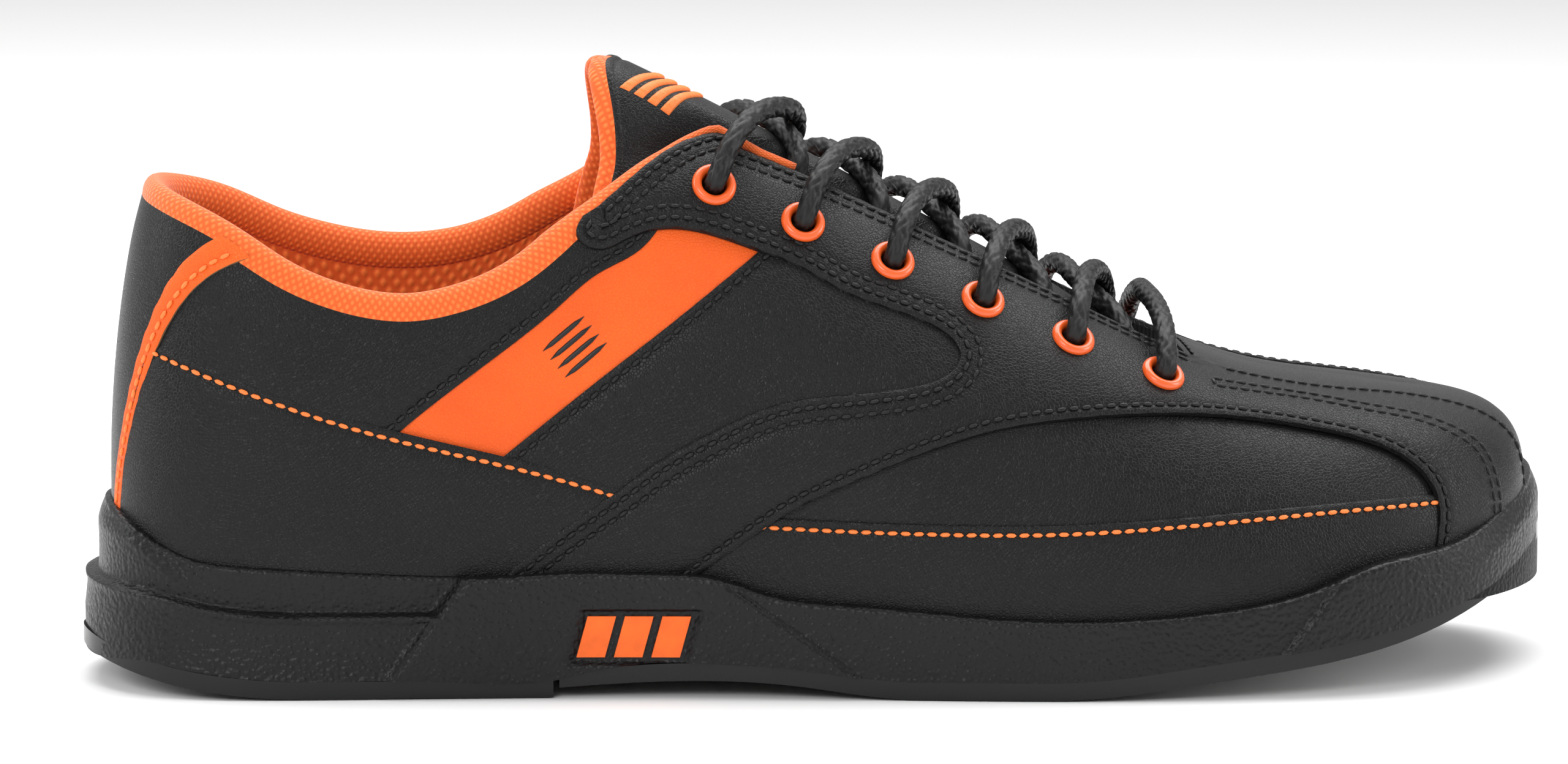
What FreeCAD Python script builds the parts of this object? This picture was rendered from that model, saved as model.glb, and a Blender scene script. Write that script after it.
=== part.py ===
import FreeCAD
import Part
import math
import os

# Bowling shoe for the right foot. Millimetres, +Z up, toe along +X, outer side of the foot along -Y.
# The origin is the middle of the outline on the floor.

doc = FreeCAD.newDocument("bowling_shoe")
sheet = doc.addObject("Spreadsheet::Sheet", "dimensions")

DIMENSIONS = {
    "leather_thickness": 1.5,
    "padding_thickness": 1.8,
    "lining_thickness": 1.2,
    "outsole_thickness": 3.6,
    "board_thickness": 2.0,
    "sock_thickness": 4.0,
    "slide_pad_thickness": 1.6,
    "heel_gap": 1.2,
    "shank_width": 16.0,
    "shank_thickness": 1.2,
    "cushion_radius": 22.0,
    "cushion_thickness": 4.0,
    "badge_depth": 1.4,
    "pad_span": 240.0,
    "eyelet_flange_radius": 4.6,
    "eyelet_bore_radius": 2.6,
    "eyelet_barrel_radius": 3.1,
    "eyelet_flange_height": 1.3,
    "washer_radius": 4.4,
    "washer_thickness": 0.5,
    "lace_diameter": 4.4,
    "aglet_diameter": 3.6,
    "aglet_length": 18.0,
    "tongue_leather_thickness": 1.2,
    "tongue_foam_thickness": 3.6,
    "tongue_lining_thickness": 1.0,
    "emblem_thickness": 0.9,
}
for row, (alias, value) in enumerate(DIMENSIONS.items(), start=1):
    sheet.set(f"A{row}", alias)
    sheet.set(f"B{row}", str(value))
    sheet.setAlias(f"B{row}", alias)
doc.recompute()
size = {alias: float(sheet.get(alias)) for alias in DIMENSIONS}

# ---------------------------------------------------------------- shape of the foot form

# Control points (x, y) of the closed line where the upper meets the sole: from the back of the heel
# along the outer side to the toe, and back along the inner side.
FEATHER = [
    (-143.5, 0), (-142.5, -16), (-131.5, -29.5), (-108, -33.5), (-79, -34), (-48, -35), (-18, -38.5),
    (12, -44), (42, -49), (72, -51), (100, -48), (125, -39), (141.5, -23.5), (148.5, -8),
    (151.5, 10), (148.5, 27), (135.5, 40.5), (113, 47.5), (86, 50.5), (58, 50), (30, 45), (2, 36.5),
    (-26, 31), (-56, 30.5), (-85, 32), (-111, 32), (-131.5, 28), (-142.5, 15.5),
]
TOE_INDEX = len(FEATHER) // 2
RIDGE_START = -100.0
RIDGE_END = 126.0
LATERAL = -1
MEDIAL = 1
SIDES = {"lateral": LATERAL, "medial": MEDIAL}


class Profile:
    """A smooth curve y(x) through knots: a natural cubic spline, straight beyond its ends."""

    def __init__(self, knots):
        self.x = [float(knot[0]) for knot in knots]
        self.y = [float(knot[1]) for knot in knots]
        self.bend = self.solve_bends()

    def solve_bends(self):
        x, y, count = self.x, self.y, len(self.x)
        below = [0.0] * count
        middle = [1.0] * count
        above = [0.0] * count
        target = [0.0] * count
        for i in range(1, count - 1):
            before = x[i] - x[i - 1]
            after = x[i + 1] - x[i]
            below[i] = before
            middle[i] = 2 * (before + after)
            above[i] = after
            target[i] = 6 * ((y[i + 1] - y[i]) / after - (y[i] - y[i - 1]) / before)
        for i in range(1, count):
            factor = below[i] / middle[i - 1]
            middle[i] -= factor * above[i - 1]
            target[i] -= factor * target[i - 1]
        bend = [0.0] * count
        for i in range(count - 2, 0, -1):
            bend[i] = (target[i] - above[i] * bend[i + 1]) / middle[i]
        return bend

    def __call__(self, position):
        x, y, bend = self.x, self.y, self.bend
        last = len(x) - 1
        if position <= x[0]:
            run = x[1] - x[0]
            return y[0] + ((y[1] - y[0]) / run - run * bend[1] / 6) * (position - x[0])
        if position >= x[last]:
            run = x[last] - x[last - 1]
            slope = (y[last] - y[last - 1]) / run + run * bend[last - 1] / 6
            return y[last] + slope * (position - x[last])
        i = 0
        while position > x[i + 1]:
            i += 1
        run = x[i + 1] - x[i]
        a = (x[i + 1] - position) / run
        b = (position - x[i]) / run
        curved = (a ** 3 - a) * bend[i] + (b ** 3 - b) * bend[i + 1]
        return a * y[i] + b * y[i + 1] + curved * run * run / 6

    def slope(self, position):
        return (self(position + 0.5) - self(position - 0.5)) / 1.0


# Heights along the shoe.
feather_height = Profile([(-150, 13.5), (-100, 12), (-40, 11), (10, 9), (45, 8), (80, 10), (110, 15.5),
                          (130, 22.5), (148, 31.5)])
ridge_height = Profile([(-100, 148.5), (-70, 141.5), (-40, 129), (-15, 116.5), (10, 103), (40, 86.5),
                        (60, 75.5), (77, 67), (92, 61.8), (108, 59), (126, 56)])
ridge_offset = Profile([(-100, 0), (-40, 0.5), (20, 1.2), (77, 1.5), (108, 3.5), (126, 7)])
wall_height = Profile([(-150, 38.5), (-143, 37), (-137, 32.5), (-130, 28.5), (-119, 26.7), (-90, 25.1),
                       (-66, 24.8), (-54, 25.5), (-35, 25.3), (-22, 24.3), (-12, 21), (3, 19.1), (43, 16.1),
                       (67, 16.7), (88, 19.2), (98, 21.7), (108, 25.7), (129, 29.5), (141, 34.5),
                       (152, 40)])
# How each rib bulges: how far its side leans out, how high the side rises before it turns over,
# and how far the top reaches back out from the ridge.
rib_lean = Profile([(-100, 6.5), (-60, 5), (0, 8), (60, 6), (100, 4.5), (126, 2)])
rib_rise = Profile([(-100, 0.46), (-60, 0.55), (0, 0.66), (60, 0.70), (100, 0.72), (126, 0.74)])
rib_reach = Profile([(-100, 0.75), (-60, 0.70), (0, 0.66), (60, 0.62), (100, 0.66), (126, 0.74)])
# How far the sole stands out from the upper.
sole_flange = Profile([(-146, 7.5), (-125, 5.5), (-90, 4.4), (0, 4.0), (60, 3.6), (110, 4.0), (152, 3.0)])


def feather_point(position):
    """Point of the closed uniform cubic B-spline through the feather line's control points."""
    index = math.floor(position)
    f = position - index
    weights = ((1 - f) ** 3 / 6, (3 * f ** 3 - 6 * f * f + 4) / 6,
               (-3 * f ** 3 + 3 * f * f + 3 * f + 1) / 6, f ** 3 / 6)
    x = y = 0.0
    for weight, step in zip(weights, (-1, 0, 1, 2)):
        point = FEATHER[(index + step) % len(FEATHER)]
        x += weight * point[0]
        y += weight * point[1]
    return x, y


def feather_outward(position):
    """Unit vector pointing out of the feather line, level with the floor."""
    before = feather_point(position - 0.02)
    after = feather_point(position + 0.02)
    tangent_x = after[0] - before[0]
    tangent_y = after[1] - before[1]
    length = math.hypot(tangent_x, tangent_y)
    return FreeCAD.Vector(tangent_y / length, -tangent_x / length, 0)


HEEL_X = feather_point(0)[0]
TOE_X = feather_point(TOE_INDEX)[0]


def position_at(share, side):
    """Where on the feather line the rib stands whose ridge point is this share of the way to the toe."""
    target = HEEL_X + (TOE_X - HEEL_X) * share
    low, high = 0.0, float(TOE_INDEX)
    if share <= 0:
        high = low
    if share >= 1:
        low = high
    while high - low > 1e-9:
        middle = (low + high) / 2
        position = middle if side == LATERAL else len(FEATHER) - middle
        if feather_point(position)[0] < target:
            low = middle
        else:
            high = middle
    return low if side == LATERAL else len(FEATHER) - low


def edge_normal(edge, outward):
    """Unit normal of one side of a rib, in the upright plane through the outward direction."""
    along = edge.dot(outward)
    normal = outward * edge.z - FreeCAD.Vector(0, 0, 1) * along
    return normal / normal.Length


def mitre(first, second, depth):
    return (first + second) * (depth / (1 + first.dot(second)))


def rib(share, side, depth):
    """Four Bezier points of a rib of the form, from the feather line up to the ridge, set in by depth."""
    position = position_at(share, side)
    x, y = feather_point(position)
    outward = feather_outward(position)
    ridge_x = RIDGE_START + (RIDGE_END - RIDGE_START) * share
    ridge = FreeCAD.Vector(ridge_x, ridge_offset(ridge_x), ridge_height(ridge_x))
    foot = FreeCAD.Vector(x, y, feather_height(x))
    up = FreeCAD.Vector(0, 0, 1)
    shoulder = foot + outward * rib_lean(ridge_x) + up * (rib_rise(ridge_x) * (ridge.z - foot.z))
    reach = rib_reach(ridge_x)
    slope = ridge_height.slope(ridge_x)
    crown = FreeCAD.Vector(ridge.x + (x - ridge.x) * reach, ridge.y + (y - ridge.y) * reach,
                           ridge.z + slope * (x - ridge.x) * reach / 2)
    side_normal = edge_normal(shoulder - foot, outward)
    turn_normal = edge_normal(crown - shoulder, outward)
    top_normal = FreeCAD.Vector(-slope, 0, 1).normalize()
    return [foot - outward * depth,
            shoulder - mitre(side_normal, turn_normal, depth),
            crown - mitre(turn_normal, top_normal, depth),
            ridge - top_normal * depth]


def form_point(share, span, depth):
    """Point of the form: span runs from -1 at the outer feather line over the ridge at 0 to 1 inside."""
    side = LATERAL if span < 0 else MEDIAL
    points = rib(share, side, depth)
    s = 1 - abs(span)
    weights = ((1 - s) ** 3, 3 * s * (1 - s) ** 2, 3 * s * s * (1 - s), s ** 3)
    total = FreeCAD.Vector()
    for weight, point in zip(weights, points):
        total += point * weight
    return total


def share_at(ridge_x):
    return (ridge_x - RIDGE_START) / (RIDGE_END - RIDGE_START)


# ---------------------------------------------------------------- solids from the form

RIB_COUNT = 26
SKIRT_BOTTOM = -10.0


def form_sides(depth):
    """For each side, the poles of the four lengthwise curves through the rib points."""
    angles = [math.pi * i / RIB_COUNT for i in range(RIB_COUNT + 1)]
    sides = {}
    for side in SIDES.values():
        ribs = [rib((1 - math.cos(angle)) / 2, side, depth) for angle in angles]
        curves = []
        for level in range(4):
            curve = Part.BSplineCurve()
            curve.interpolate(Points=[points[level] for points in ribs], Parameters=angles)
            curves.append(curve)
        sides[side] = curves
    return sides


def surface_between(curves, degree):
    """Surface whose cross lines have the given curves' poles as their Bezier points."""
    surface = Part.BSplineSurface()
    poles = [list(row) for row in zip(*[curve.getPoles() for curve in curves])]
    mults = curves[0].getMultiplicities()
    knots = curves[0].getKnots()
    surface.buildFromPolesMultsKnots(poles, mults, [degree + 1, degree + 1], knots, [0.0, 1.0],
                                     False, False, curves[0].Degree, degree)
    return surface.toShape()


def solid_from(faces, label):
    shell = Part.Shell(faces)
    shell.sewShape()
    solid = Part.Solid(shell)
    if solid.Volume < 0:
        solid.reverse()
    if not solid.isValid():
        raise RuntimeError(label + " isn't a valid solid")
    return solid


def form_solid(depth):
    """The inside of the upper, set in by depth, with straight sides from the feather line down."""
    faces = []
    bottom_edges = []
    for side, curves in form_sides(depth).items():
        faces.append(surface_between(curves, 3))
        bottom = Part.BSplineCurve()
        poles = [FreeCAD.Vector(pole.x, pole.y, SKIRT_BOTTOM) for pole in curves[0].getPoles()]
        bottom.buildFromPolesMultsKnots(poles, curves[0].getMultiplicities(), curves[0].getKnots(),
                                        False, curves[0].Degree)
        faces.append(surface_between([bottom, curves[0]], 1))
        bottom_edges.append(bottom.toShape())
    faces.append(Part.Face(Part.Wire(bottom_edges)))
    return solid_from(faces, "form")


def feature(name, shape):
    item = doc.addObject("Part::Feature", name)
    item.Shape = shape
    return item


def common(name, base, tool):
    item = doc.addObject("Part::Common", name)
    item.Base = base
    item.Tool = tool
    item.Refine = False
    return item


def cut(name, base, tool):
    item = doc.addObject("Part::Cut", name)
    item.Base = base
    item.Tool = tool
    item.Refine = False
    return item


def smooth(points):
    """Sketch edge: one curve through the given points."""
    curve = Part.BSplineCurve()
    curve.interpolate([FreeCAD.Vector(x, y, 0) for x, y in points])
    return curve


def lines(points):
    """Sketch edges: straight lines from point to point."""
    return [Part.LineSegment(FreeCAD.Vector(a[0], a[1], 0), FreeCAD.Vector(b[0], b[1], 0))
            for a, b in zip(points, points[1:])]


def pad_body(name, plane, edges, expression, midplane=True, reverse=False, offset=0.0):
    """PartDesign body: one outline sketched on an origin plane, or off it, and padded."""
    body = doc.addObject("PartDesign::Body", name)
    sketch = body.newObject("Sketcher::SketchObject", name + "_outline")
    support = next(item for item in body.Origin.OriginFeatures if item.Role == plane)
    sketch.AttachmentSupport = (support, [""])
    sketch.MapMode = "FlatFace"
    sketch.AttachmentOffset = FreeCAD.Placement(FreeCAD.Vector(0, 0, offset), FreeCAD.Rotation())
    for edge in edges:
        sketch.addGeometry(edge, False)
    pad = body.newObject("PartDesign::Pad", name + "_pad")
    pad.Profile = sketch
    pad.Midplane = midplane
    pad.Reversed = reverse
    pad.setExpression("Length", expression)
    return body


def side_region(name, edges):
    """Everything inside an outline drawn in the side view."""
    return pad_body(name, "XZ_Plane", edges, "dimensions.pad_span")


leather = size["leather_thickness"]
padding = size["padding_thickness"]
lining = size["lining_thickness"]
wall = leather + padding + lining
outer_form = feature("outer_form", form_solid(0))
padding_form = feature("padding_form", form_solid(leather))
lining_form = feature("lining_form", form_solid(leather + padding))
foot_form = feature("foot_form", form_solid(wall))

# ---------------------------------------------------------------- sole unit

SOLE_BACK = -165.0
SOLE_FRONT = 165.0
GROUND = -15.0
SKY = 175.0
HEEL_FLAT = (-104, -56)
BALL_FLAT = (16, 46)
HEEL_BOTTOM = [(SOLE_BACK, 14), (-148, 6.5), (-137, 3.4), (-125, 1.3), (-113, 0.2), (HEEL_FLAT[0], 0)]
ARCH_BOTTOM = [(-45, 2.7), (-22, 3.4), (-6, 2.4), (6, 0.8), (BALL_FLAT[0], 0)]
TOE_BOTTOM = [(BALL_FLAT[1], 0), (60, 1.1), (75, 3.2), (104, 7.2), (124, 12), (137, 17), (145, 21),
              (SOLE_FRONT, 34)]
ARCH_TOP = [(HEEL_FLAT[1], 3.6), (-50, 5.2), (-45, 6), (-22, 7), (-6, 6), (6, 4.4), (BALL_FLAT[0], 3.6)]
outsole = size["outsole_thickness"]
notch_x = HEEL_FLAT[1] + size["heel_gap"]


def raised(points, height):
    return [(x, z + height) for x, z in points]


def profile_points(profile, start, end, height=0.0, count=24):
    """Points of a lengthwise profile, from start to end."""
    steps = [start + (end - start) * i / count for i in range(count + 1)]
    return [(x, profile(x) + height) for x in steps]


def band_edges(lower, upper):
    """Closed outline between two open chains, each given as a list of edges from back to front."""
    lower_start = lower[0].StartPoint
    lower_end = lower[-1].EndPoint
    upper_start = upper[0].StartPoint
    upper_end = upper[-1].EndPoint
    front = Part.LineSegment(lower_end, upper_end)
    back = Part.LineSegment(upper_start, lower_start)
    return lower + [front] + upper + [back]


def sole_outline(extra):
    """The sole's outline seen from above, standing out from the feather line."""
    points = []
    for index in range(len(FEATHER)):
        x, y = feather_point(index)
        edge = FreeCAD.Vector(x, y, 0) + feather_outward(index) * (sole_flange(x) + extra)
        points.append(edge)
    curve = Part.BSplineCurve()
    curve.interpolate(Points=points, PeriodicFlag=True)
    return [curve]


def plan_body(name, extra):
    return pad_body(name, "XY_Plane", sole_outline(extra), "dimensions.pad_span")


heel_bottom_edges = [smooth(HEEL_BOTTOM)] + lines([(HEEL_FLAT[0], 0), (HEEL_FLAT[1], 0)])
heel_top_edges = [smooth(raised(HEEL_BOTTOM, outsole))]
heel_top_edges += lines([(HEEL_FLAT[0], outsole), (HEEL_FLAT[1], outsole)])
ball_bottom_edges = lines([(BALL_FLAT[0], 0), (BALL_FLAT[1], 0)]) + [smooth(TOE_BOTTOM)]
ball_top_edges = lines([(BALL_FLAT[0], outsole), (BALL_FLAT[1], outsole)])
ball_top_edges += [smooth(raised(TOE_BOTTOM, outsole))]

sole_plan = plan_body("sole_plan", 0)
heel_band = side_region("heel_band", band_edges(heel_bottom_edges, heel_top_edges))
heel_pad = common("heel_pad", sole_plan, heel_band)

fore_bottom_edges = [smooth([(notch_x, 2.0)] + ARCH_BOTTOM)] + ball_bottom_edges
fore_top_edges = [smooth([(notch_x, 3.9)] + ARCH_TOP[1:])] + ball_top_edges
fore_band = side_region("fore_band", band_edges(fore_bottom_edges, fore_top_edges))
forepart_blank = common("forepart_blank", sole_plan, fore_band)

SLIDE_ZONE = (18, 122)
slide_depth = size["slide_pad_thickness"]
slide_upper = lines([(BALL_FLAT[0], slide_depth), (BALL_FLAT[1], slide_depth)])
slide_upper += [smooth(raised(TOE_BOTTOM, slide_depth))]
below_slide = lines([(BALL_FLAT[0], GROUND), (SOLE_FRONT, GROUND)])
slide_band = side_region("slide_band", band_edges(below_slide, slide_upper))
slide_plan = plan_body("slide_plan", -7.0)
slide_start, slide_end = SLIDE_ZONE
slide_zone = side_region("slide_zone", lines([(slide_start, GROUND), (slide_end, GROUND), (slide_end, SKY),
                                              (slide_start, SKY), (slide_start, GROUND)]))
slide_strip = common("slide_strip", common("slide_inset", slide_plan, slide_zone), slide_band)
slide_pad = common("slide_pad", forepart_blank, slide_strip)
outsole_forepart = cut("outsole_forepart", forepart_blank, slide_strip)

BOTTOM_EDGES = [smooth(raised(HEEL_BOTTOM, outsole))]
BOTTOM_EDGES += lines([(HEEL_FLAT[0], outsole), (HEEL_FLAT[1], outsole)])
BOTTOM_EDGES += [smooth(ARCH_TOP)] + ball_top_edges
wall_edges = [smooth(profile_points(wall_height, SOLE_BACK, SOLE_FRONT, 0, 60))]
midsole_band = side_region("midsole_band", band_edges(BOTTOM_EDGES, wall_edges))
midsole_blank = common("midsole_blank", sole_plan, midsole_band)

feather_edges = [smooth(profile_points(feather_height, SOLE_BACK, SOLE_FRONT))]
ceiling_edges = lines([(SOLE_BACK, SKY), (SOLE_FRONT, SKY)])
above_feather = side_region("above_feather", band_edges(feather_edges, ceiling_edges))
upper_core = common("upper_core", outer_form, above_feather)
midsole_cup = cut("midsole_cup", midsole_blank, upper_core)

# The shank lies under the board through the arch, the cushion under the heel.
SHANK = (-76, 14)
shank_lower = [smooth(profile_points(feather_height, SHANK[0], SHANK[1], -size["shank_thickness"], 8))]
shank_upper = [smooth(profile_points(feather_height, SHANK[0], SHANK[1], 0, 8))]
shank = pad_body("shank", "XZ_Plane", band_edges(shank_lower, shank_upper), "dimensions.shank_width")
cushion_blank = doc.addObject("Part::Cylinder", "cushion_blank")
cushion_blank.setExpression("Radius", "dimensions.cushion_radius")
cushion_blank.Height = 20
cushion_blank.Placement.Base = FreeCAD.Vector(-100, 0, feather_height(-100) - size["cushion_thickness"])
heel_cushion = cut("heel_cushion", cushion_blank, above_feather)
midsole_shanked = cut("midsole_shanked", midsole_cup, shank)
midsole_hollowed = cut("midsole_hollowed", midsole_shanked, heel_cushion)

# Raised badge of slanted bars in a pocket of the outer side wall.
BADGE_X = -53.0
BADGE_Z = 7.0
BADGE_HEIGHT = 11.0
BADGE_WIDTH = 24.0
BADGE_SLANT = 3.0
BAR_COUNT = 3
BAR_MARGIN = 1.3


def slanted_box(x, z, width, height):
    slant = BADGE_SLANT * height / BADGE_HEIGHT
    return lines([(x, z), (x + width, z), (x + width + slant, z + height), (x + slant, z + height), (x, z)])


badge_floor = plan_body("badge_floor", -size["badge_depth"])
badge_face = plan_body("badge_face", 0.5)
pocket_region = pad_body("pocket_region", "XZ_Plane",
                         slanted_box(BADGE_X, BADGE_Z, BADGE_WIDTH, BADGE_HEIGHT), "dimensions.pad_span",
                         midplane=False)
badge_pocket = cut("badge_pocket", pocket_region, badge_floor)
midsole = cut("midsole", midsole_hollowed, badge_pocket)
bar_edges = []
bar_pitch = (BADGE_WIDTH - BAR_MARGIN) / BAR_COUNT
for index in range(BAR_COUNT):
    bar_x = BADGE_X + BAR_MARGIN + index * bar_pitch + BADGE_SLANT * BAR_MARGIN / BADGE_HEIGHT
    bar_edges += slanted_box(bar_x, BADGE_Z + BAR_MARGIN, bar_pitch - BAR_MARGIN * 1.4,
                             BADGE_HEIGHT - 2 * BAR_MARGIN)
bar_region = pad_body("bar_region", "XZ_Plane", bar_edges, "dimensions.pad_span", midplane=False)
badge_bars = common("badge_bars", bar_region, badge_face)
sole_badge = cut("sole_badge", badge_bars, badge_floor)

# ---------------------------------------------------------------- board and sock liner

board = size["board_thickness"]
sock = size["sock_thickness"]
board_top = [smooth(profile_points(feather_height, SOLE_BACK, SOLE_FRONT, board))]
sock_top = [smooth(profile_points(feather_height, SOLE_BACK, SOLE_FRONT, board + sock))]
board_band = side_region("board_band", band_edges(feather_edges, board_top))
sock_band = side_region("sock_band", band_edges(board_top, sock_top))
insole_board = common("insole_board", foot_form, board_band)
sock_liner = common("sock_liner", foot_form, sock_band)

# ---------------------------------------------------------------- openings of the upper

COLLAR_HEEL = [(SOLE_BACK, 111), (-146, 104.5), (-138, 100.6)]
COLLAR_FRONT = [(-45, 99.5), (-38, 105), (-31, 109.5), (-24, 111.8), (-14, 112.5)]
COLLAR_SIDE = {
    "lateral": [(-122, 93.5), (-110, 86), (-101, 82), (-92, 79.6), (-84, 79), (-76, 80.3), (-68, 83),
                (-60, 87.5), (-52, 94)],
    "medial": [(-122, 96), (-110, 90.5), (-100, 87.2), (-90, 85.2), (-80, 84.8), (-70, 86.3), (-60, 90.2),
               (-52, 95)],
}
THROAT_OUTER = [(-40, -16), (-20, -16), (0, -16), (20, -17), (40, -18), (60, -18), (68, -15.5), (74, -10)]
THROAT_INNER = [(74, 12.5), (68, 18), (60, 20.5), (40, 20), (20, 18.8), (0, 17.8), (-20, 17.2), (-40, 17)]
STRIP_OUTER = [(70, -19.5), (83, -18.5), (93, -16), (109, -14), (121, -11), (134, -9), (146, -8),
               (SOLE_FRONT, -8)]
STRIP_INNER = [(SOLE_FRONT, 26), (146, 25.5), (134, 24.5), (121, 23), (109, 21.5), (93, 21), (83, 22),
               (70, 23)]
BACK_PANEL = [(6, 25), (7.5, 32), (9.3, 38), (11, 43), (13.4, 50), (15.2, 57), (17.5, 64), (19.2, 71),
              (20.7, 77), (22.3, 83), (24, 88), (26.5, 94), (32, 104)]
ANKLE_X = -95.0
TRIM_WIDTH = [(25, 5.6), (50, 4.4), (70, 3.8), (90, 4.2), (104, 5)]

COLLAR_REACH = 64.0


def collar_wire(points, y):
    """The collar opening's outline in the upright plane at y: the rim below, open sky above."""
    rim = Part.BSplineCurve()
    rim.interpolate([FreeCAD.Vector(x, y, z) for x, z in points])
    corners = [(points[-1][0], SKY), (points[0][0], SKY)]
    loop = [rim.EndPoint] + [FreeCAD.Vector(x, y, z) for x, z in corners] + [rim.StartPoint]
    edges = [Part.LineSegment(start, end).toShape() for start, end in zip(loop, loop[1:])]
    return Part.Wire([rim.toShape()] + edges)


def collar_loft():
    """One cutter whose floor passes through both rims, lower on the outer side than on the inner."""
    rims = {name: COLLAR_HEEL + COLLAR_SIDE[name] + COLLAR_FRONT for name in SIDES}
    wires = []
    for side in SIDES.values():
        points = []
        for outer, inner in zip(rims["lateral"], rims["medial"]):
            middle = (outer[1] + inner[1]) / 2
            points.append((outer[0], middle + side * (inner[1] - outer[1])))
        wires.append(collar_wire(points, side * COLLAR_REACH))
    return Part.makeLoft(wires, True, True)


collar_opening = feature("collar_opening", collar_loft())

throat_edges = [smooth(THROAT_OUTER), smooth([THROAT_OUTER[-1], (75.5, 1.2), THROAT_INNER[0]])]
throat_edges += [smooth(THROAT_INNER)] + lines([THROAT_INNER[-1], THROAT_OUTER[0]])
throat_opening = pad_body("throat_opening", "XY_Plane", throat_edges, "dimensions.pad_span * 2")
strip_edges = [smooth(STRIP_OUTER)] + lines([STRIP_OUTER[-1], STRIP_INNER[0]])
strip_edges += [smooth(STRIP_INNER)] + lines([STRIP_INNER[-1], STRIP_OUTER[0]])
strip_region = pad_body("strip_region", "XY_Plane", strip_edges, "dimensions.pad_span * 2")

trim_width = Profile(TRIM_WIDTH)


def rear_region(name, edges):
    """Everything behind the ankle inside an outline drawn in the rear view."""
    return pad_body(name, "YZ_Plane", edges, "dimensions.pad_span / 3", False, True, ANKLE_X)


def rear_edges(half_width):
    """Closed rear-view outline, the same on both sides of the heel's middle."""
    right = [(width, z) for width, z in half_width]
    left = [(-width, z) for width, z in reversed(half_width)]
    return [smooth(right)] + lines([right[-1], left[0]]) + [smooth(left)] + lines([left[-1], right[0]])


back_region = rear_region("back_region", rear_edges(BACK_PANEL))
trim_region = rear_region("trim_region",
                          rear_edges([(width + trim_width(z), z) for width, z in BACK_PANEL]))

# ---------------------------------------------------------------- eyelets

EYELET_ROWS = 6
FIRST_ROW_X = -12.0
ROW_PITCH = 15.4
EYELET_SPANS = (0.36, 0.395)


def row_x(row):
    return FIRST_ROW_X + ROW_PITCH * row


def eyelet_span(row):
    share = row / (EYELET_ROWS - 1)
    return EYELET_SPANS[0] + (EYELET_SPANS[1] - EYELET_SPANS[0]) * share


def place(ridge_x, span, height):
    """Point over the form: at a rib, across it, and at a height above the leather."""
    return form_point(share_at(ridge_x), span, -height)


def form_normal(ridge_x, span):
    step = place(ridge_x, span, 1.0) - place(ridge_x, span, -1.0)
    along = place(ridge_x + 1, span, 0) - place(ridge_x - 1, span, 0)
    across = place(ridge_x, span + 0.01, 0) - place(ridge_x, span - 0.01, 0)
    normal = along.cross(across)
    if normal.dot(step) < 0:
        normal = normal * -1
    return normal.normalize()


# Keeps the flat flanges clear of the curved leather.
EYELET_RISE = 0.06


def eyelet_spots(side):
    """Placement of each eyelet of a side: centre on the leather, axis outwards."""
    spots = []
    for row in range(EYELET_ROWS):
        span = eyelet_span(row) * side
        turn = FreeCAD.Rotation(FreeCAD.Vector(0, 0, 1), form_normal(row_x(row), span))
        spots.append(FreeCAD.Placement(place(row_x(row), span, EYELET_RISE), turn))
    return spots


flange_radius = size["eyelet_flange_radius"]
bore_radius = size["eyelet_bore_radius"]
barrel_radius = size["eyelet_barrel_radius"]
flange_height = size["eyelet_flange_height"]
barrel_end = -(wall + 0.9)
eyelet_master = doc.addObject("PartDesign::Body", "eyelet_master")
eyelet_sketch = eyelet_master.newObject("Sketcher::SketchObject", "eyelet_profile")
eyelet_plane = next(item for item in eyelet_master.Origin.OriginFeatures if item.Role == "XZ_Plane")
eyelet_sketch.AttachmentSupport = (eyelet_plane, [""])
eyelet_sketch.MapMode = "FlatFace"
rim_middle = (bore_radius + flange_radius) / 2
rim_start = FreeCAD.Vector(flange_radius, 0, 0)
rim_top = FreeCAD.Vector(rim_middle, flange_height, 0)
rim_end = FreeCAD.Vector(bore_radius, 0, 0)
eyelet_sketch.addGeometry(Part.Arc(rim_start, rim_top, rim_end), False)
for edge in lines([(bore_radius, 0), (bore_radius, barrel_end), (barrel_radius, barrel_end),
                   (barrel_radius, 0), (flange_radius, 0)]):
    eyelet_sketch.addGeometry(edge, False)
eyelet_turn = eyelet_master.newObject("PartDesign::Revolution", "eyelet_turn")
eyelet_turn.Profile = eyelet_sketch
eyelet_turn.ReferenceAxis = (eyelet_sketch, ["V_Axis"])
eyelet_turn.Angle = 360
washer_radius = size["washer_radius"]
washer_outer = Part.makeCylinder(washer_radius, size["washer_thickness"], FreeCAD.Vector(0, 0, barrel_end))
washer_hole = Part.makeCylinder(barrel_radius, size["washer_thickness"], FreeCAD.Vector(0, 0, barrel_end))
washer_shape = washer_outer.cut(washer_hole)
doc.recompute()

hole_shape = Part.makeCylinder(barrel_radius, 12, FreeCAD.Vector(0, 0, -9))
spots = {name: eyelet_spots(side) for name, side in SIDES.items()}
eyelet_holes = feature("eyelet_holes", Part.makeCompound(
    [hole_shape.transformed(spot.toMatrix()) for name in SIDES for spot in spots[name]]))


def copies(name, shape, places):
    return feature(name, Part.makeCompound([shape.transformed(spot.toMatrix()) for spot in places]))


pieces = {}
for name in SIDES:
    pieces["eyelets_" + name] = copies("eyelets_" + name, eyelet_master.Shape, spots[name])
    pieces["eyelet_washers_" + name] = copies("eyelet_washers_" + name, washer_shape, spots[name])

# ---------------------------------------------------------------- layers of the upper


def clear_of(name, region, tools):
    """A region with other regions taken out of it."""
    for index, tool in enumerate(tools):
        region = cut(f"{name}_clear_{index}", region, tool)
    return region


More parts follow.
